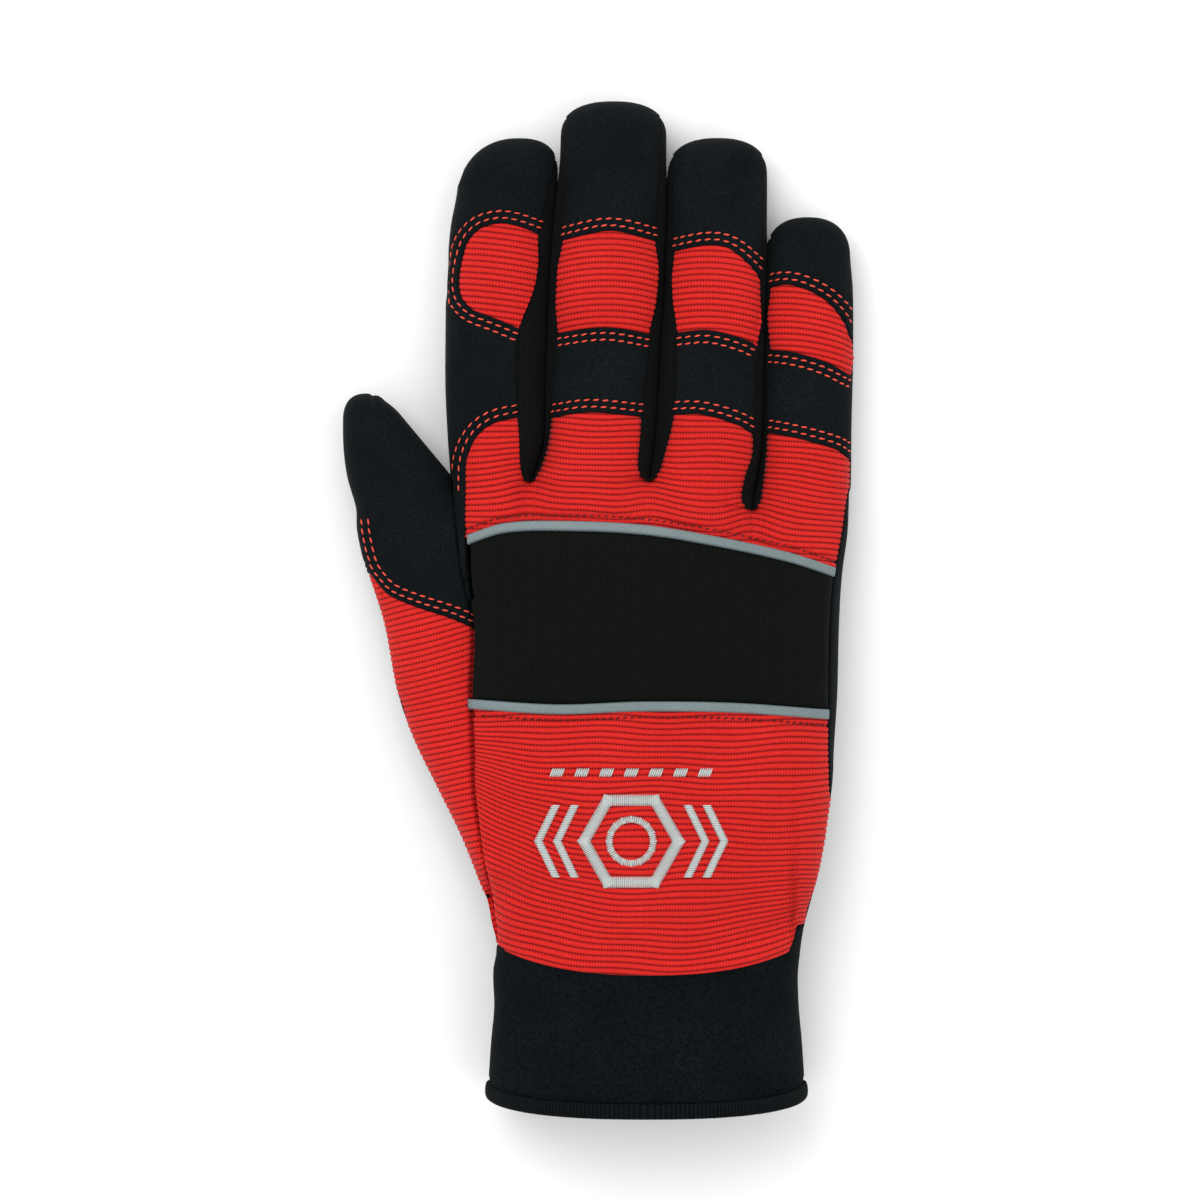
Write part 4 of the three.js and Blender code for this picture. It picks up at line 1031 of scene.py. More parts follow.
def lay_threads(name, paths, spacing, radius, flatness, material):
    """One mesh of threads; a path is its points, its threads' directions and their length in mm."""
    mesh = bpy.data.meshes.new(name)
    points = np.concatenate([path[0] for path in paths])
    ways = np.concatenate([path[1] for path in paths])
    longs = np.concatenate([np.broadcast_to(path[2], len(path[0])) for path in paths])
    edges = []
    start = 0
    for path in paths:
        edges += [(start + i, start + i + 1) for i in range(len(path[0]) - 1)]
        start += len(path[0])
    mesh.from_pydata(in_place(points).tolist(), edges, [])
    way = mesh.attributes.new("way", "FLOAT_VECTOR", "POINT")
    way.data.foreach_set("vector", ways.astype(np.float32).ravel())
    long = mesh.attributes.new("long", "FLOAT", "POINT")
    long.data.foreach_set("value", (longs * MM).astype(np.float32))
    holder = add_object(f"{name}_path", mesh)
    nodes = holder.modifiers.new("threads", "NODES")
    nodes.node_group = THREADS
    sockets = {item.name: item.identifier for item in THREADS.interface.items_tree if item.in_out == "INPUT"}
    for label, value in (("Spacing", spacing * MM), ("Radius", radius * MM), ("Flatness", flatness)):
        nodes[sockets[label]] = value
    nodes[sockets["Thread"]] = material
    bpy.context.view_layer.update()
    depsgraph = bpy.context.evaluated_depsgraph_get()
    made = bpy.data.meshes.new_from_object(holder.evaluated_get(depsgraph), depsgraph=depsgraph)
    made.name = name
    piece = add_object(name, made)
    bpy.data.objects.remove(holder)
    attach(piece, "root")
    return piece


def offset_line(line, distance):
    """A line of x, y points moved square to itself; positive is to its left."""
    run = unit(np.gradient(line, axis=0))
    return line + distance * np.stack([-run[:, 1], run[:, 0]], axis=1)


def even_line(line, step, smoothing):
    """The line with points at even steps, its corners softened."""
    along = np.concatenate([[0], np.cumsum(np.linalg.norm(np.diff(line, axis=0), axis=1))])
    places = np.linspace(0, along[-1], int(along[-1] / step) + 1)
    even = np.stack([np.interp(places, along, line[:, i]) for i in range(2)], axis=1)
    for _ in range(smoothing):
        soften(even)
    return even


def stitch_rows(line, surface, lift, inward, rows, paths, length, slant=8.0, reach=None):
    """Rows of stitches beside an edge line, on its left if inward is 1, laid on the lifted skin."""
    for row in rows:
        place = even_line(offset_line(even_line(line, LINE_STEP, 2), inward * row), LINE_STEP, 4)
        kept = surface(1, place[:, 0], place[:, 1])[1] > STITCH_CROWN
        if reach is not None:
            kept &= (place[:, 0] > reach[0](place[:, 1])) & (place[:, 0] < reach[1](place[:, 1]))
        place = place[kept]
        base, out = skin_points(surface, 1, place[:, 0], place[:, 1])
        points = base + out * (lift(place[:, 0], place[:, 1]) + THREAD_LIFT * THREAD_RADIUS)[:, None]
        run = unit(np.gradient(points, axis=0))
        side = np.cross(out, run)
        way = run + side * math.tan(math.radians(slant))
        paths.append((points, way, length))


# Edges of the fingers' backs

seam_paths = []


def outer_edge(finger, side, y):
    return mix(finger.edge("leftEdge", y), finger.edge("rightEdge", y), (1 + side * EDGE_REACH) / 2)


def dorsal_left(finger, y):
    if finger is INDEX:
        return outer_edge(finger, -1, y)
    return finger.edge("leftSeam", y) + SEAM_GAP / 2


def dorsal_right(finger, y):
    if finger is LITTLE:
        return outer_edge(finger, 1, y)
    return finger.edge("rightSeam", y) - SEAM_GAP / 2


def rounded_end(x, left, right, start, reach):
    """The outline of a rounded tip over x, found by halving between its start and its reach."""
    low = start + 0 * x
    high = low + reach
    for _ in range(26):
        middle = (low + high) / 2
        across = np.abs(across_from(left(middle), right(middle), x))
        inside = across ** CROWN_POWER + ((middle - start) / reach) ** CROWN_POWER < 1 - EDGE_ROOM
        low = np.where(inside, middle, low)
        high = np.where(inside, high, middle)
    return low


def tip_outline(finger, x):
    return rounded_end(x, lambda y: finger.edge("leftEdge", y), lambda y: finger.edge("rightEdge", y),
                       finger.at(finger.tip_start), (1 - finger.tip_start) * finger.length)


def seam_of(finger, name):
    return lambda x: finger.seam(name, x)


def cross_line(finger, name, count=60):
    """The points of a seam that crosses a finger's back, from left to right."""
    line = lambda y, side: dorsal_left(finger, y) if side < 0 else dorsal_right(finger, y)
    left, right = finger.centre, finger.centre
    for _ in range(12):
        left = line(finger.seam(name, left), -1)
        right = line(finger.seam(name, right), 1)
    x = np.linspace(left + SEAM_GAP, right - SEAM_GAP, count)
    return np.stack([x, finger.seam(name, x)], axis=1)


# Ribs over a finger's window: slope and arch of the knit there, with the puff over the knuckle
WINDOW_RIBS = {
    "index": {"slope": 0.12, "arch": 0.4, "puff": 0.8},
    "middle": {"slope": 0.02, "arch": 1.6, "puff": 1.0},
    "ring": {"slope": 0.06, "arch": 1.6, "puff": 1.0},
    "little": {"slope": 0.14, "arch": 1.5, "puff": 0.8},
}


def window_knit(finger, low, high, left, columns, side_distance=None):
    """The knit of a finger's window, puffed over the joint and tucked under the leather around it."""
    form = WINDOW_RIBS[finger.name]
    lower = above(low)
    upper = below(high)

    def rib_line(x, y):
        place = (x - finger.centre) / (finger.width / 2)
        return y + form["slope"] * (x - finger.centre) + form["arch"] * place ** 2

    def lift(x, y):
        inside = np.minimum(lower(x, y), upper(x, y))
        if side_distance is not None:
            inside = np.minimum(inside, side_distance(x, y))
        puff = form["puff"] * ease(inside / PUFF_REACH)
        return rib_height(rib_line(x, y)) + puff - under_leather(inside) - KNIT_SINK

    return patch(f"knit_{finger.name}", red_knit, on_finger(finger), left, lambda y: dorsal_right(finger, y),
                 lambda x: low(x) - TUCK, lambda x: high(x) + TUCK, columns, 104, wall=KNIT_WALL, lift=lift,
                 uv_of=lambda x, y: np.stack([x, rib_line(x, y)], axis=-1))


def finger_back(finger):
    """Leather band, knit window and leather cap over one finger, with their rows of stitches."""
    surface = on_finger(finger)
    left = lambda y: dorsal_left(finger, y)
    right = lambda y: dorsal_right(finger, y)
    band_low = seam_of(finger, "bandStart")
    band_high = seam_of(finger, "windowStart")
    cap_low = seam_of(finger, "windowEnd")
    band_lift = leather_lift(above(band_low), below(band_high))
    cap_lift = leather_lift(above(cap_low))
    band, cut = patch(f"band_{finger.name}", leather, surface, left, right, band_low, band_high, 36, 60,
                      lift=band_lift, ends=1.3)
    sewn(band, f"band_{finger.name}", cut)
    knit, cut = window_knit(finger, band_high, cap_low, left, 36)
    sewn(knit, f"knit_{finger.name}", cut)
    cap, cut = patch(f"cap_{finger.name}", leather, surface, left, right, cap_low,
                     lambda x: tip_outline(finger, x), 40, 80, tip=True, lift=cap_lift)
    sewn(cap, f"cap_{finger.name}", cut)
    for seam, lift, inward in (("bandStart", band_lift, 1), ("windowStart", band_lift, -1),
                               ("windowEnd", cap_lift, 1)):
        stitch_rows(cross_line(finger, seam), surface, lift, inward, STITCH_ROWS, seam_paths, STITCH_LENGTH,
                    reach=(left, right))


for finger in FINGERS[1:]:
    finger_back(finger)


# Index finger: a leather wrap round an oval window, with a strip down beside the knuckles

def window_edge_x(y):
    return INDEX.centre + window_edge("place", INDEX.along(y)) * INDEX.width


def strip_right(y):
    return palm_edge("left", y) + strip_widths("width", y / PALM_LENGTH) * STRIP_WIDTH


def wrap_left(y):
    return np.where(y < INDEX.base, palm_side(-1, y), outer_edge(INDEX, -1, y))


def dividing_line(y):
    return np.where(y < INDEX.base, np.minimum(strip_right(y), window_edge_x(INDEX.base)), window_edge_x(y))


index_band = seam_of(INDEX, "bandStart")
index_low = seam_of(INDEX, "windowStart")
index_high = seam_of(INDEX, "windowEnd")
strip_low = STRIP_START * PALM_LENGTH


def corner_of(curve):
    """Where the oval's left side meets one of its ends."""
    y = float(curve(INDEX.centre - 0.25 * INDEX.width))
    for _ in range(30):
        y = float(curve(window_edge_x(y)))
    return y


def window_line():
    """The oval window's edge, from the upper right round its left side to the lower right."""
    top = cross_line(INDEX, "windowEnd", 120)[::-1]
    bottom = cross_line(INDEX, "windowStart", 120)
    y_top = corner_of(index_high)
    y_bottom = corner_of(index_low)
    side_y = np.linspace(y_top, y_bottom, 40)
    side = np.stack([window_edge_x(side_y), side_y], axis=1)
    top = top[top[:, 0] > side[0, 0] + 0.2]
    bottom = bottom[bottom[:, 0] > side[-1, 0] + 0.2]
    return even_line(np.concatenate([top, side, bottom]), LINE_STEP, 3)


def band_line():
    """The leather's edge over the first joint, from the right seam round and down the side strip."""
    over = cross_line(INDEX, "bandStart", 160)[::-1]
    over = over[over[:, 0] > window_edge_x(INDEX.base) + 0.2]
    side_y = np.linspace(over[-1, 1] - LINE_STEP, strip_low, 60)
    side = np.stack([dividing_line(side_y), side_y], axis=1)
    return even_line(np.concatenate([over, side]), LINE_STEP, 2)


def index_wrap():
    surface = on_finger(INDEX)
    window = window_line()
    band = band_line()
    side_columns = 16
    main_columns = 34
    across_side = np.linspace(0, 1, side_columns)
    across_main = shares(main_columns, 0.4)[1:]
    band_left = float(index_band(window_edge_x(INDEX.base)))
    main_right = lambda y: dorsal_right(INDEX, y)
    sections = [
        (36, level(strip_low), level(band_left), False),
        (44, index_band, index_low, False),
        (44, index_low, index_high, False),
        (80, index_high, lambda x: tip_outline(INDEX, x), True),
    ]
    xs, ys, kinds = [], [], []
    for number, (rows, low, high, tip) in enumerate(sections):
        steps = shares(rows, 0, tip)
        if number + 1 < len(sections):
            steps = steps[:-1]
        for step in steps:
            x, y = place_between(wrap_left, dividing_line, low, high, across_side,
                                 np.full(side_columns, step))
            main_low, main_high, main_step = (low, high, step) if number else (index_band, index_low, 0)
            x_main, y_main = place_between(dividing_line, main_right, main_low, main_high, across_main,
                                           np.full(main_columns - 1, main_step))
            xs.append(np.concatenate([x, x_main]))
            ys.append(np.concatenate([y, y_main]))
            kinds.append(number)
    x = np.concatenate(xs)
    y = np.concatenate(ys)
    columns = side_columns + main_columns - 1
    base, out = skin_points(surface, 1, x, y)
    quads = quads_of(len(kinds), columns)
    row = quads.min(axis=1) // columns
    main = quads.min(axis=1) % columns >= side_columns - 1
    kinds = np.array(kinds)[row]
    quads = quads[~(main & ((kinds == 0) | (kinds == 2)))]
    lift = leather_lift(from_line(window), from_line(band))
    points = base + out * lift(x, y)[:, None]
    cut = (INDEX.width * WRAP_FULLNESS * MM, (INDEX.at(1) - strip_low) * WRAP_CURVE * MM,
           area_of(base, quads) * MM * MM)
    quads, points, out, uv = only_used(quads, points, out, np.stack([x, y], axis=-1))
    sewn(panel("index_wrap", points, out, quads, uv, LEATHER_WALL, leather), "index_wrap", cut)
    stitch_rows(window, surface, lift, -1, STITCH_ROWS, seam_paths, STITCH_LENGTH)
    above_strip = band[band[:, 1] > INDEX.base - STITCH_SPACING]
    stitch_rows(above_strip, surface, lift, -1, STITCH_ROWS, seam_paths, STITCH_LENGTH)
    inside = lambda xx, yy: xx - window_edge_x(yy)
    knit, cut = window_knit(INDEX, index_low, index_high, lambda yy: window_edge_x(yy) - TUCK, 40, inside)
    sewn(knit, "knit_index", cut)


index_wrap()


# Back of the hand

def wrap_share(y):
    share = (y / PALM_LENGTH - WRAP_START) / (WRAP_END - WRAP_START)
    return np.sqrt(np.maximum(0, np.sin(np.pi * np.clip(share, 0, 1))))


def back_right(y):
    return palm_side(1, y) - wrap_share(y) * (WRAP_WIDTH + SEAM_GAP)


def little_right(y):
    """The knit's edge beside the wrap where it runs on along the little finger."""
    return outer_edge(LITTLE, 1, y) - wrap_share(y) * (WRAP_WIDTH + SEAM_GAP)


def back_left(y):
    return np.where(y / PALM_LENGTH > STRIP_START, strip_right(y), palm_side(-1, y)) + SEAM_GAP / 2


def across_wrist(x):
    return np.clip(across_from(palm_edge("left", 0), palm_edge("right", 0), x), -1, 1)


def back_end(x):
    return BACK_END_SIDE - BACK_SAG * (1 - np.abs(across_wrist(x)) ** CROWN_POWER)


def upper_top(x):
    return upper_piping_curve("along", x / PALM_WIDTH) * PALM_LENGTH


def lower_top(x):
    return lower_piping_curve("along", x / PALM_WIDTH) * PALM_LENGTH


def upper_low(x):
    return upper_top(x) - PIPING_WIDTH


def lower_low(x):
    return lower_top(x) - PIPING_WIDTH


def slit_middle(before, after):
    """The middle of the slit between two fingers, at its lower end."""
    y = root_y((before.centre + after.centre) / 2)
    return float(dorsal_right(before, y) + dorsal_left(after, y)) / 2


def waviness(x, y):
    return 0.4 * np.sin(x / 8 + 0.12 * y) + 0.22 * np.sin(x / 3.7 - 0.2 * y)


CROTCHES = [slit_middle(before, after) for before, after in zip(FINGERS[:-1], FINGERS[1:])]

# Soft hollows and swells of the knit: x, y, turn, half length, half width, depth
KNUCKLE_FOLDS = folds([
    [-29, 101, 20, 9, 3.0, -0.7],
    [-14, 104, -8, 10, 2.6, 0.5],
    [-3, 101, 30, 8, 2.6, -0.7],
    [9, 106, -20, 9, 3.0, 0.5],
    [24, 98, 25, 8, 2.6, -0.7],
    [38, 97, -25, 8, 3.0, 0.4],
])
BACK_FOLDS = folds([
    [-31, 30, -62, 20, 3.2, -0.8],
    [-38, 18, -66, 22, 2.6, 0.5],
    [-6, 4, -14, 16, 3.0, -0.5],
    [12, 10, 12, 18, 3.2, -0.6],
    [24, 22, -20, 14, 3.5, -0.5],
    [31, 8, 24, 12, 2.4, -0.8],
    [28, 2, 20, 14, 1.6, 0.5],
    [2, 46, 6, 18, 4.0, -0.35],
    [33, 44, -10, 12, 3.5, -0.4],
])
GUSSET_FOLDS = folds([
    [-66, 40, -66, 22, 3.5, -0.8],
    [-56, 62, 12, 10, 3.0, -0.6],
    [-52, 30, -60, 20, 3.0, 0.6],
])


def knuckle_rib_line(x, y):
    """The knit's level lines over the knuckles: drawn up under each slit, and sloping down to the right."""
    under = sum(np.exp(-((x - crotch) / 6) ** 2) for crotch in CROTCHES)
    near = np.exp(-((y - root_y(x) + 3) / 9) ** 2)
    slope = 0.03 * x + 0.00055 * (x + 10) ** 2 * ease((x + 10) / 20)
    return y - 1.9 * under * near + slope + waviness(x, y)


def slit_side(seam, crotch, y):
    """A slit's side, drawn in to a round end at the crotch."""
    opening = np.clip((y - root_y(crotch)) / SLIT_ROUND, 0, 1)
    return mix(crotch, seam, np.sqrt(opening * (2 - opening)))


def knuckle_edges(finger, in_tongue):
    """The knuckle knit's left and right edges at a finger, in its tongue or below the fingers."""
    number = FINGERS.index(finger)
    left = lambda y: slit_side(dorsal_left(finger, y), CROTCHES[number - 1] + SLIT_EDGE, y)
    right = lambda y: slit_side(dorsal_right(finger, y), CROTCHES[number] - SLIT_EDGE, y)
    if finger is INDEX:
        strip = (lambda y: np.maximum(strip_right(y), window_edge_x(y))) if in_tongue else strip_right
        left = lambda y: strip(y) + SEAM_GAP / 2 - TUCK
    if finger is LITTLE:
        right = little_right if in_tongue else back_right
    return left, right


def knuckle_panel():
    columns, tongue_rows, knuckle_rows = 26, 90, 108
    xs, ys, inside = [], [], []
    for row in range(tongue_rows + knuckle_rows - 1):
        in_tongue = row < tongue_rows
        for finger in FINGERS:
            left, right = knuckle_edges(finger, in_tongue)
            band = seam_of(finger, "bandStart")
            if in_tongue:
                low, high = root_y, lambda x, b=band: b(x) + TUCK
                share = 1 - row / (tongue_rows - 1)
            else:
                low, high = lambda x: upper_top(x) - TUCK / 2, root_y
                share = 1 - (row - tongue_rows + 1) / (knuckle_rows - 1)
            x, y = place_between(left, right, low, high, np.linspace(0, 1, columns), np.full(columns, share))
            edge = below(band)(x, y)
            if finger is INDEX:
                edge = np.minimum(edge, x - dividing_line(y))
            xs.append(x)
            ys.append(y)
            inside.append(np.minimum(edge, y - upper_top(x) + SEAM_GAP))
    x, y, inside = (np.concatenate(part) for part in (xs, ys, inside))
    count = len(FINGERS) * columns
    rows = tongue_rows + knuckle_rows - 1
    base = np.zeros((len(x), 3))
    out = np.zeros((len(x), 3))
    owner = (np.arange(len(x)) // columns) % len(FINGERS)
    for number, finger in enumerate(FINGERS):
        mine = owner == number
        base[mine], out[mine] = skin_points(on_finger(finger), 1, x[mine], y[mine])
    for values in (base[:, 2:], out):
        grid = values.reshape(rows, count, -1).copy()
        for step in range(14):
            soften(grid[tongue_rows + step:].swapaxes(0, 1))
        values[:] = grid.reshape(rows * count, -1)
    out = unit(out)
    locked = PIPING_PULL * np.exp(-((y - upper_top(x) - LOCK_ROW) / LOCK_WIDTH) ** 2)
    line = knuckle_rib_line(x, y)
    lift = rib_height(line) + KNUCKLE_FOLDS(x, y) - under_leather(inside) - KNIT_SINK - locked
    quads = quads_of(rows, count, flip=True)
    row = quads.min(axis=1) // count
    column = quads.min(axis=1) % count
    keep = (column % columns != columns - 1) | (row >= tongue_rows - 1)
    quads = quads[keep]
    cut = cut_size(base, rows, count, quads)
    piece = panel("knuckle_panel", base + out * lift[:, None], out, quads, np.stack([x, line], axis=-1),
                  KNIT_WALL, red_knit)
    sewn(piece, "knuckle_panel", cut)


def piping(name, top):
    low = lambda x: top(x) - PIPING_WIDTH
    across = lambda x, y: np.minimum(above(low)(x, y), below(top)(x, y))
    left = lambda y: back_left(y) - PIPING_OVERLAP
    ends = lambda x, y: np.minimum(x - left(y), back_right(y) - x)
    lift = lambda x, y: PIPING_RISE * (1 - edge_roll(np.minimum(across(x, y), ends(x, y)), 0.6)) - 0.1
    piece, _ = patch(name, reflective, palm_surface, left, back_right, low, top, 150, 16, wall=1.2,
                     lift=lift, ends=1.4)
    sewn(piece, name)


def blown(base, out, rows, columns):
    """How far a padded skin, held at its edges, rises when its filling presses on it; the result is kept."""
    rise = np.zeros(rows * columns)
    mesh = bpy.data.meshes.new("pad_cloth")
    quads = quads_of(rows, columns)
    mesh.from_pydata(in_place(base).tolist(), [], quads.tolist())
    cloth_piece = add_object("pad_cloth", mesh)
    held = cloth_piece.vertex_groups.new(name="held")
    number = np.arange(rows * columns).reshape(rows, columns)
    edge = np.concatenate([number[0], number[-1], number[:, 0], number[:, -1]])
    held.add([int(i) for i in np.unique(edge)], 1, "REPLACE")
    modifier = cloth_piece.modifiers.new("cloth", "CLOTH")
    settings = modifier.settings
    settings.vertex_group_mass = "held"
    settings.use_pressure = True
    settings.uniform_pressure_force = PAD_PRESSURE
    settings.tension_stiffness = PAD_STIFFNESS
    settings.compression_stiffness = PAD_STIFFNESS
    settings.bending_stiffness = PAD_BENDING
    settings.mass = PAD_POINT_MASS
    settings.effector_weights.gravity = 0
    scene = bpy.context.scene
    modifier.point_cache.frame_start = 1
    modifier.point_cache.frame_end = PAD_FRAMES
    for number in range(1, PAD_FRAMES + 1):
        scene.frame_set(number)
    seen = cloth_piece.evaluated_get(bpy.context.evaluated_depsgraph_get())
    places = np.empty(rows * columns * 3, dtype=np.float32)
    seen.data.vertices.foreach_get("co", places)
    moved = places.reshape(-1, 3) / MM - np.array([SHIFT_X, SHIFT_Y, 0]) - base
    rise = np.clip((moved * out).sum(axis=1), 0, PAD_MOST)
    scene.frame_set(1)
    bpy.data.objects.remove(cloth_piece)
    grid = rise.reshape(rows, columns)
    for _ in range(4):
        grid[1:-1, 1:-1] = (grid[:-2, 1:-1] + grid[2:, 1:-1] + grid[1:-1, :-2] + grid[1:-1, 2:]) / 4
    return grid.ravel()


def knuckle_pad():
    rows, columns = 44, 90
    across, along = np.meshgrid(shares(columns, 0.4), shares(rows, 0.3))
    x, y = place_between(back_left, back_right, lower_top, upper_low, across.ravel(), along.ravel())
    base, out = skin_points(palm_surface, 1, x, y)
    inside = np.minimum.reduce([above(lower_top)(x, y), below(upper_low)(x, y),
                                x - back_left(y), back_right(y) - x])
    lift = PAD_RISE - PAD_ROLL_DEPTH * edge_roll(inside, PAD_ROLL) + blown(base, out, rows, columns)
    points = base + out * lift[:, None]
    quads = quads_of(rows, columns)
    pad = panel("knuckle_pad", points, out, quads, np.stack([x, y], axis=-1), PAD_WALL, neoprene)
    sewn(pad, "knuckle_pad")


def back_rib_line(x, y):
    """The knit's level lines over the back: steep at the thumb's side, round near the lower edge."""
    left = back_left(y)
    beside = np.clip((left + RIB_LEAN_WIDTH - x) / RIB_LEAN_WIDTH, 0, 1)
    lean = RIB_LEAN * beside ** 2 * ease((lower_low(x) - y) / RIB_LEAN_REACH)
    round_edge = BACK_SAG * np.abs(across_wrist(x)) ** CROWN_POWER
    near_edge = 1 - ease((y - back_end(x)) / RIB_ROUND_REACH)
    return y - mix(lean, round_edge, near_edge) + waviness(x, y)


def corner_rise(x):
    """How far the cuff reaches up over the back's lower right corner."""
    return CORNER_RISE * ease((across_wrist(x) - CORNER_START) / CORNER_WIDTH)


def back_low(x):
    return back_end(x) - BACK_HEM + corner_rise(x)


def back_lift(x, y):
    edge = above(back_low)(x, y)
    middle = 1 - np.abs(across_wrist(x)) ** 4
    hem = HEM_RISE * middle * (1 - ease(edge / HEM_REACH)) - edge_roll(edge, KNIT_ROLL)
    locked = PIPING_PULL * np.exp(-((lower_low(x) - y - LOCK_ROW) / LOCK_WIDTH) ** 2)
    under = under_leather(lower_low(x) - y + SEAM_GAP) + 0.6 * edge_roll(x - back_left(y), KNIT_ROLL)
    return rib_height(back_rib_line(x, y)) + BACK_FOLDS(x, y) + hem - locked - under - KNIT_SINK


def back_surface(side, x, y):
    """The palm's skin, turned down into the seam along its left edge."""
    height, crown = palm_surface(side, x, y)
    return height - SEAM_DROP * ease(1 - (x - palm_edge("left", y)) / SEAM_TURN), crown


def back_of_hand():
    knuckle_panel()
    piping("piping_upper", upper_top)
    piping("piping_lower", lower_top)
    knuckle_pad()
    seam_line = lambda y: back_left(y) - SEAM_GAP / 2
    back, cut = patch("back_panel", red_knit, back_surface, seam_line, back_right, back_low,
                      lambda x: lower_low(x) + TUCK / 2, 100, 270, wall=KNIT_WALL, lift=back_lift,
                      uv_of=lambda x, y: np.stack([x, back_rib_line(x, y)], axis=-1))
    sewn(back, "back_panel", cut)


back_of_hand()


# Fourchettes between the fingers

def fourchette_row(finger, side, y, count, swell):
    left = finger.edge("leftEdge", y)
    right = finger.edge("rightEdge", y)
    centre = (left + right) / 2
    half = (right - left) / 2
    seam = finger.edge("rightSeam" if side > 0 else "leftSeam", y)
    tip = np.clip((finger.along(y) - finger.tip_start) / (1 - finger.tip_start), 0, 1)
    reach = crown_at(1 - tip ** CROWN_POWER)
    upper = np.arccos(np.clip(np.abs(seam - centre) / half / reach, 0, 1) ** (CROWN_POWER / 2))
    lower = np.arccos(np.clip(PALM_SEAM / reach, 0, 1) ** (CROWN_POWER / 2))
    angle = mix(upper, -lower, np.linspace(0, 1, count))
    x = centre + side * half * reach * np.cos(angle) ** (2 / CROWN_POWER)
    level = np.where(angle >= 0, 1, -1)
    base, out = skin_points(on_finger(finger), level, x, y + 0 * x)
    bulge = swell * np.sin(np.pi * np.linspace(0, 1, count)) ** 0.7
    return base + out * bulge[:, None], out


def fourchette_end(finger, side):
    start = finger.at(finger.tip_start)
    seam = finger.edge("rightSeam" if side > 0 else "leftSeam", start)
    place = across_from(finger.edge("leftEdge", start), finger.edge("rightEdge", start), seam)
    widest = max(abs(place), PALM_SEAM) + 0.02
    return start + (1 - finger.tip_start) * finger.length * crown_at(1 - widest ** CROWN_POWER)


def closing(before, after, parting, y):
    """How far the strip swells so that neighbouring fingers touch below the place where they part."""
    gap = after.edge("leftEdge", y) - before.edge("rightEdge", y)
    touching = np.clip(gap / 2 + 0.15, FOURCHETTE_SWELL, FOURCHETTE_MOST)
    return mix(0.2, touching, ease((parting - y) / 8))


def fourchette(before, after, crotch_x, parting):
    crotch = root_y(crotch_x) + SLIT_LEAD
    rows, columns = 70, 22
    steps = np.linspace(0, 1, rows)
    down = [fourchette_row(before, 1, y, columns, closing(before, after, parting, y))
            for y in mix(fourchette_end(before, 1), crotch, steps)]
    up = [fourchette_row(after, -1, y, columns, closing(before, after, parting, y))
          for y in mix(fourchette_end(after, -1), crotch, steps[::-1])]
    turns = []
    for angle in np.linspace(0, np.pi, 9)[1:-1]:
        points = mix(down[-1][0], up[0][0], (1 - math.cos(angle)) / 2)
        cross = np.pi * np.linspace(0, 1, columns)
        points[:, 1] -= SLIT_DEPTH * math.sin(angle)
        points[:, 2] += SLIT_RISE * math.sin(angle) * np.cos(cross / 2)
        turns.append((points, np.stack([0 * cross, np.sin(cross), np.cos(cross)], axis=-1)))
    strip = down + turns + up
    points = np.concatenate([row[0] for row in strip])
    out = np.concatenate([row[1] for row in strip])
    quads = quads_of(len(strip), columns, flip=True)
    across = np.tile(np.linspace(0, 12, columns), len(strip))
    uv = np.stack([across, np.repeat(np.arange(len(strip)) * 1.2, columns)], axis=-1)
    name = f"fourchette_{before.name}_{after.name}"
    piece = panel(name, points, out, quads, uv, 1.0, stretch)
    sewn(piece, name, cut_size(points, len(strip), columns, quads))


for number, parting in enumerate(PARTINGS):
    fourchette(FINGERS[number], FINGERS[number + 1], CROTCHES[number], parting)


# Palm leather with its wrap up the little finger's side

def front_edge(finger, side, y):
    if (finger is INDEX and side < 0) or (finger is LITTLE and side > 0):
        return outer_edge(finger, side, y)
    return mix(finger.edge("leftEdge", y), finger.edge("rightEdge", y), (1 + side * PALM_SEAM) / 2)


def palm_share(finger, across):
    """Share of the palm's width below a finger, from its shares across that finger's root."""
    base = root_y(finger.centre)
    left = palm_edge("left", base)
    reach = palm_edge("right", base) - left
    first = (front_edge(finger, -1, base) - left) / reach
    last = (front_edge(finger, 1, base) - left) / reach
    if finger is INDEX:
        first = (1 - EDGE_REACH) / 2
    if finger is LITTLE:
        last = (1 + EDGE_REACH) / 2
    return mix(first, last, across)


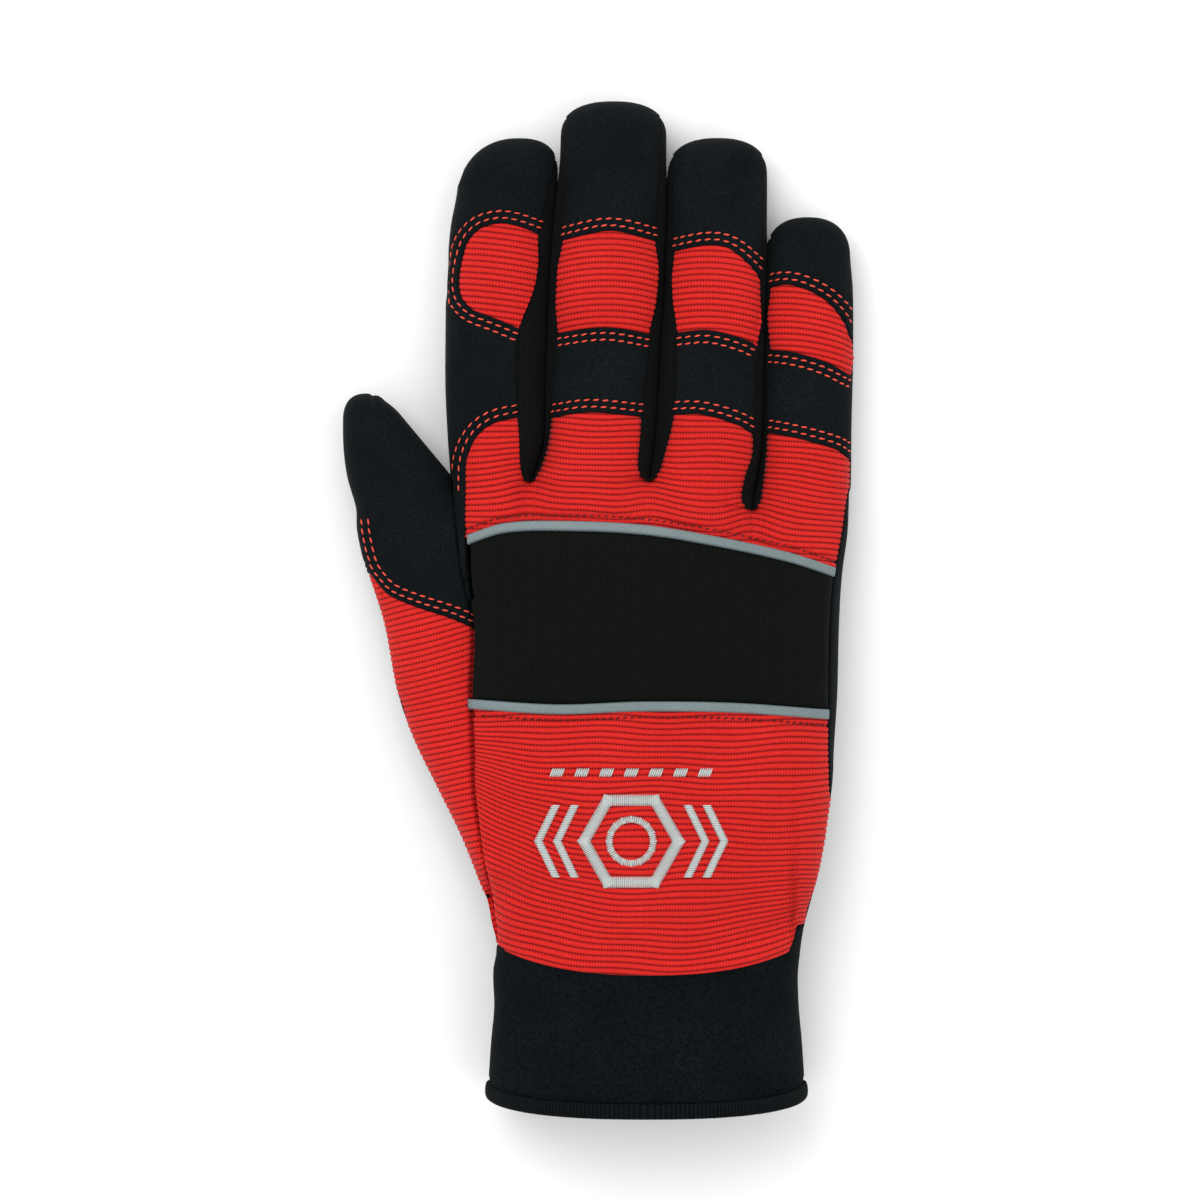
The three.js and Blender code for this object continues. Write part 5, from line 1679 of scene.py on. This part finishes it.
def palm_leather():
    columns, front_rows, palm_rows, wrap_columns = 22, 62, 100, 6
    across = shares(columns, 1)
    xs, ys, bases, outs = [], [], [], []
    for row in range(front_rows + palm_rows - 1):
        for finger in FINGERS:
            if row < front_rows:
                step = 1 - (row / (front_rows - 1)) ** TIP_CROWDING
                x, y = place_between(lambda yy: front_edge(finger, -1, yy),
                                     lambda yy: front_edge(finger, 1, yy), root_y,
                                     lambda xx: tip_outline(finger, xx), across, np.full(columns, step))
            else:
                share = palm_share(finger, across)
                line = lambda yy: mix(palm_edge("left", yy), palm_edge("right", yy), share)
                along = 1 - (row - front_rows + 1) / (palm_rows - 1)
                x, y = place_between(line, line, level(BACK_END_SIDE), root_y, 0 * across,
                                     np.full(columns, along))
            base, out = skin_points(on_finger(finger), -1, x, y)
            xs.append(x)
            ys.append(y)
            bases.append(base)
            outs.append(out)
        rim_y = y[-1]
        rim = back_right if rim_y < root_y(x[-1]) else little_right
        seam_x = rim(rim_y) + SEAM_GAP * (wrap_share(rim_y) > 0)
        climb = np.linspace(0, 1, wrap_columns + 1)[1:] ** 1.7
        wrap_x = mix(x[-1], seam_x, climb)
        base, out = skin_points(on_finger(LITTLE), 1, wrap_x, np.full(wrap_columns, rim_y))
        xs.append(wrap_x)
        ys.append(np.full(wrap_columns, rim_y))
        bases.append(base)
        outs.append(out)
    count = len(FINGERS) * columns + wrap_columns
    rows = front_rows + palm_rows - 1
    x, y, base, out = (np.concatenate(part) for part in (xs, ys, bases, outs))
    quads = quads_of(rows, count)
    row = quads.min(axis=1) // count
    column = quads.min(axis=1) % count
    last = len(FINGERS) * columns - 1
    slit = (column % columns == columns - 1) & (column < last)
    keep = ~slit | (row >= front_rows - 1)
    keep &= (column < last) | (wrap_share(y[row * count + count - 1]) > 0)
    quads = quads[keep]
    cut = cut_size(base, rows, count, quads)
    quads, base, out, uv = only_used(quads, base, out, np.stack([x, y], axis=-1))
    sewn(panel("palm", base, out, quads, uv, LEATHER_WALL, leather), "palm", cut)


palm_leather()


# Thumb: leather back and underside, knit gusset

def thumb_outline(x):
    return rounded_end(x, thumb_left, thumb_right, thumb_tip_start, (1 - THUMB_TIP_START) * THUMB_LENGTH)


def thumb_side_left(y):
    return mix(thumb_left(y), thumb_hidden_edge(y), (1 - EDGE_REACH) / 2)


def thumb_side_right(y):
    above_crotch = mix(thumb_left(y), thumb_right(y), (1 + EDGE_REACH) / 2)
    return np.where(y < thumb_crotch, thumb_right(y), above_crotch)


def leather_end(x):
    return thumb_leather_curve("along", x / PALM_WIDTH) * PALM_LENGTH


def gusset_rib_line(x, y):
    return y - GUSSET_LEAN * x + 0.5 * waviness(x, y)


def thumb():
    edge = above(leather_end)
    rolled = leather_lift(edge)
    dart = from_line(THUMB_DART)
    hidden = lambda x, y: THUMB_TUCK * ease((x - thumb_right(y) + 0.2) / THUMB_TUCK)
    lift = lambda x, y: rolled(x, y) - 0.7 * np.exp(-(dart(x, y) / 0.55) ** 2) - hidden(x, y)
    inner = lambda y: thumb_side_right(y) + THUMB_TUCK * ease((thumb_crotch + 2 - y) / 4)
    back, cut = patch("thumb_back", leather, thumb_surface, thumb_side_left, inner, leather_end,
                      thumb_outline, 56, 110, tip=True, lift=lift)
    sewn(back, "thumb_back", cut)

    def gusset_lift(x, y):
        hidden = GUSSET_TUCK * ease((x - thumb_right(y) + 0.3) / GUSSET_TUCK) * ease((y - gusset_start) / 8)
        tucked = under_leather(-edge(x, y)) + hidden
        return rib_height(gusset_rib_line(x, y)) + GUSSET_FOLDS(x, y) - tucked - KNIT_SINK

    def gusset_left(y):
        taper = palm_edge("left", y) - GUSSET_LEDGE * ease((y - BACK_END_SIDE) / 6)
        return mix(taper, thumb_side_left(y), ease((y - thumb_base - 1) / 14))

    gusset_right = lambda y: thumb_side_right(y) + GUSSET_TUCK * ease((thumb_crotch - 6 - y) / 8)
    gusset, cut = patch("thumb_gusset", red_knit, closing_thumb, gusset_left, gusset_right,
                        level(BACK_END_SIDE), lambda x: leather_end(x) + TUCK, 42, 330,
                        wall=KNIT_WALL, lift=gusset_lift,
                        uv_of=lambda x, y: np.stack([x, gusset_rib_line(x, y)], axis=-1))
    sewn(gusset, "thumb_gusset", cut)
    under, cut = patch("thumb_palm", leather, closing_thumb, gusset_left, thumb_side_right,
                       level(gusset_start), thumb_outline, 44, 110, side=-1, tip=True)
    sewn(under, "thumb_palm", cut)
    corner = 0.8 * PALM_LENGTH
    x = np.linspace(thumb_left(corner) + 0.3, thumb_side_right(0.7 * PALM_LENGTH) - 0.4, 120)
    y = np.linspace(corner + THUMB_STITCH_CLIMB, leather_end(x[0]) + 0.5, 30)
    line = np.concatenate([np.stack([thumb_left(y) + 0.1, y], axis=1),
                           np.stack([x, leather_end(x)], axis=1)])
    stitch_rows(line, thumb_surface, lift, 1, STITCH_ROWS, seam_paths, STITCH_LENGTH)


thumb()


# Cuff and its binding

def turned(turn):
    return np.sign(np.cos(turn)) * np.abs(np.cos(turn)) ** (2 / CROWN_POWER)


def ring(name, material, top, bottom, rows, rise, wall, columns=220):
    turn = 2 * np.pi * np.arange(columns) / columns
    level = np.where(np.sin(turn) >= 0, 1, -1)
    bases, points, outs, uvs = [], [], [], []
    for row in range(rows + 1):
        share = row / rows
        y = mix(top(turn), bottom(turn), share)
        x = mix(palm_edge("left", y), palm_edge("right", y), (1 + turned(turn)) / 2)
        base, out = skin_points(palm_surface, level, x, y)
        point = base + out * rise(share)
        point[:, 2] = np.maximum(0, point[:, 2])
        bases.append(base)
        points.append(point)
        outs.append(out)
        uvs.append(np.stack([turn * PALM_HEIGHT, y], axis=-1))
    quads = quads_of(rows + 1, columns, closed=True)
    bases = np.concatenate(bases)
    cut = cut_size(bases, rows + 1, columns, quads)
    piece = panel(name, np.concatenate(points), np.concatenate(outs), quads, np.concatenate(uvs), wall,
                  material)
    return piece, cut


def cuff():
    up = lambda turn: np.maximum(0, np.sin(turn))

    def cuff_top(turn):
        x = mix(palm_edge("left", 0), palm_edge("right", 0), (1 + turned(turn)) / 2)
        over = back_end(x) + CUFF_TUCK * np.minimum(1, 3 * up(turn)) + 0.8 * corner_rise(x)
        return np.where(up(turn) > 0, over, BACK_END_SIDE) - 0.2

    hem = lambda turn: -CUFF_LENGTH - HEM_DROP * up(turn)
    seam = lambda turn: hem(turn) + BINDING_WIDTH
    tucked = lambda share: -0.9 * (1 - ease(share / 0.035)) - 0.5 * ease((share - 0.95) / 0.05)
    body, cut = ring("cuff", fleece, cuff_top, seam, 64, tucked, CUFF_WALL)
    sewn(body, "cuff", cut)
    bulge = lambda share: BINDING_RISE * math.sqrt(max(0, 1 - (2 * share - 1) ** 2))
    binding, _ = ring("cuff_binding", binding_knit, seam, hem, 14, bulge, 2.8)
    sewn(binding, "cuff_binding")


cuff()


# Seam stitches and the stitched motif

def piping_stitches():
    """The lock stitches on the knit beside each piping."""
    paths = []
    for curve, side, lift in ((upper_top, 1, lambda x, y: 0 * x + LOCK_RISE), (lower_low, -1, back_lift)):
        x = np.linspace(back_left(curve(CROTCHES[0])) + 1, back_right(curve(CROTCHES[2])) - 1, 160)
        line = np.stack([x, curve(x)], axis=1)
        stitch_rows(line, palm_surface, lift, side, [LOCK_ROW], paths, LOCK_LENGTH, LOCK_SLANT)
    return paths


def stroke(start, end, width, slant=0.0):
    """Satin threads side by side along a straight stroke: their places, directions and lengths."""
    count = max(2, int(np.linalg.norm(end - start) / 0.5))
    line = mix(start, end, np.linspace(0, 1, count)[:, None])
    base, out = skin_points(palm_surface, 1, line[:, 0], line[:, 1])
    points = base + out * (back_lift(line[:, 0], line[:, 1]) + SATIN_RISE)[:, None]
    soften(points)
    run = unit(np.gradient(points, axis=0))
    return points, np.cross(out, run) + slant * run, width


def motif():
    """A nut between two pairs of chevrons, with a row of small lozenges above."""
    centre = np.array([MOTIF_X - SHIFT_X, MOTIF_Y - SHIFT_Y])
    at = lambda radius, degrees: centre + radius * np.array([math.cos(math.radians(degrees)),
                                                              math.sin(math.radians(degrees))])
    paths = []
    for corner in range(6):
        start, end = at(NUT_RADIUS, 60 * corner), at(NUT_RADIUS, 60 * corner + 60)
        spare = (end - start) / NUT_RADIUS * NUT_STROKE / 2 * math.tan(math.pi / 6)
        paths.append(stroke(start - spare, end + spare, NUT_STROKE))
    for number in range(16):
        start, end = at(NUT_HOLE, 22.5 * number), at(NUT_HOLE, 22.5 * number + 22.5)
        paths.append(stroke(start, end, NUT_STROKE * 0.6))
    for side in (-1, 1):
        for number in range(2):
            tip = centre + np.array([side * (NUT_RADIUS + CHEVRON_GAP + CHEVRON_STEP * number), 0])
            for way in (-1, 1):
                end = tip + np.array([-side, way]) * CHEVRON_ARM
                paths.append(stroke(tip, end, CHEVRON_WIDTH, 0.5 * way * side))
    half = np.array([LOZENGE_LENGTH / 2, 0])
    for number in range(-3, 4):
        middle = centre + np.array([LOZENGE_STEP * number, NUT_RADIUS + LOZENGE_RISE])
        paths.append(stroke(middle - half, middle + half, LOZENGE_HEIGHT, 0.4))
    return paths


lay_threads("seam_stitches", seam_paths, STITCH_SPACING, THREAD_RADIUS, THREAD_FLATNESS, red_thread)
lay_threads("piping_stitches", piping_stitches(), LOCK_SPACING, 1.1 * THREAD_RADIUS, THREAD_FLATNESS,
            lock_thread)
lay_threads("stitched_motif", motif(), SATIN_SPACING, SATIN_RADIUS, 1.0, satin_thread)


# Floor, light and camera

FLOOR_SIZE = 6
FLOOR_LEVEL = -0.0005
SKY_STRENGTH = 0.95
LIGHTS = [
    ("key", (-0.4, 0.6, 1.1), 0.9, 7),
    ("fill", (0.7, -0.3, 1.0), 0.9, 2),
]
LENS = 170
SENSOR_WIDTH = 36
FAR_END = 10
EYE = (0.0004, 0.0017, 1.412)


def area_light(name, place, size, power):
    light = bpy.data.lights.new(name, "AREA")
    light.size = size
    light.energy = power
    lamp = add_object(name, light)
    lamp.location = place
    lamp.rotation_euler = Vector(place).to_track_quat("Z", "Y").to_euler()


def studio():
    bpy.ops.mesh.primitive_plane_add(size=FLOOR_SIZE, location=(0, 0, FLOOR_LEVEL))
    floor = bpy.context.object
    floor.name = "floor"
    pale, tree, shader = start_material("pale floor", 0.9, 0.1, 0.0)
    shader.inputs["Base Color"].default_value = (0.95, 0.95, 0.95, 1)
    floor.data.materials.append(pale)
    world = bpy.data.worlds.new("studio")
    bpy.context.scene.world = world
    world.use_nodes = True
    background = world.node_tree.nodes["Background"]
    background.inputs["Color"].default_value = (1, 1, 1, 1)
    background.inputs["Strength"].default_value = SKY_STRENGTH
    bpy.context.scene.view_settings.view_transform = "Standard"
    for name, place, size, power in LIGHTS:
        area_light(name, place, size, power)


def camera():
    lens = bpy.data.cameras.new("camera")
    lens.lens = LENS
    lens.sensor_width = SENSOR_WIDTH
    lens.clip_end = FAR_END
    eye = add_object("camera", lens)
    eye.location = EYE
    bpy.context.scene.camera = eye


studio()
camera()
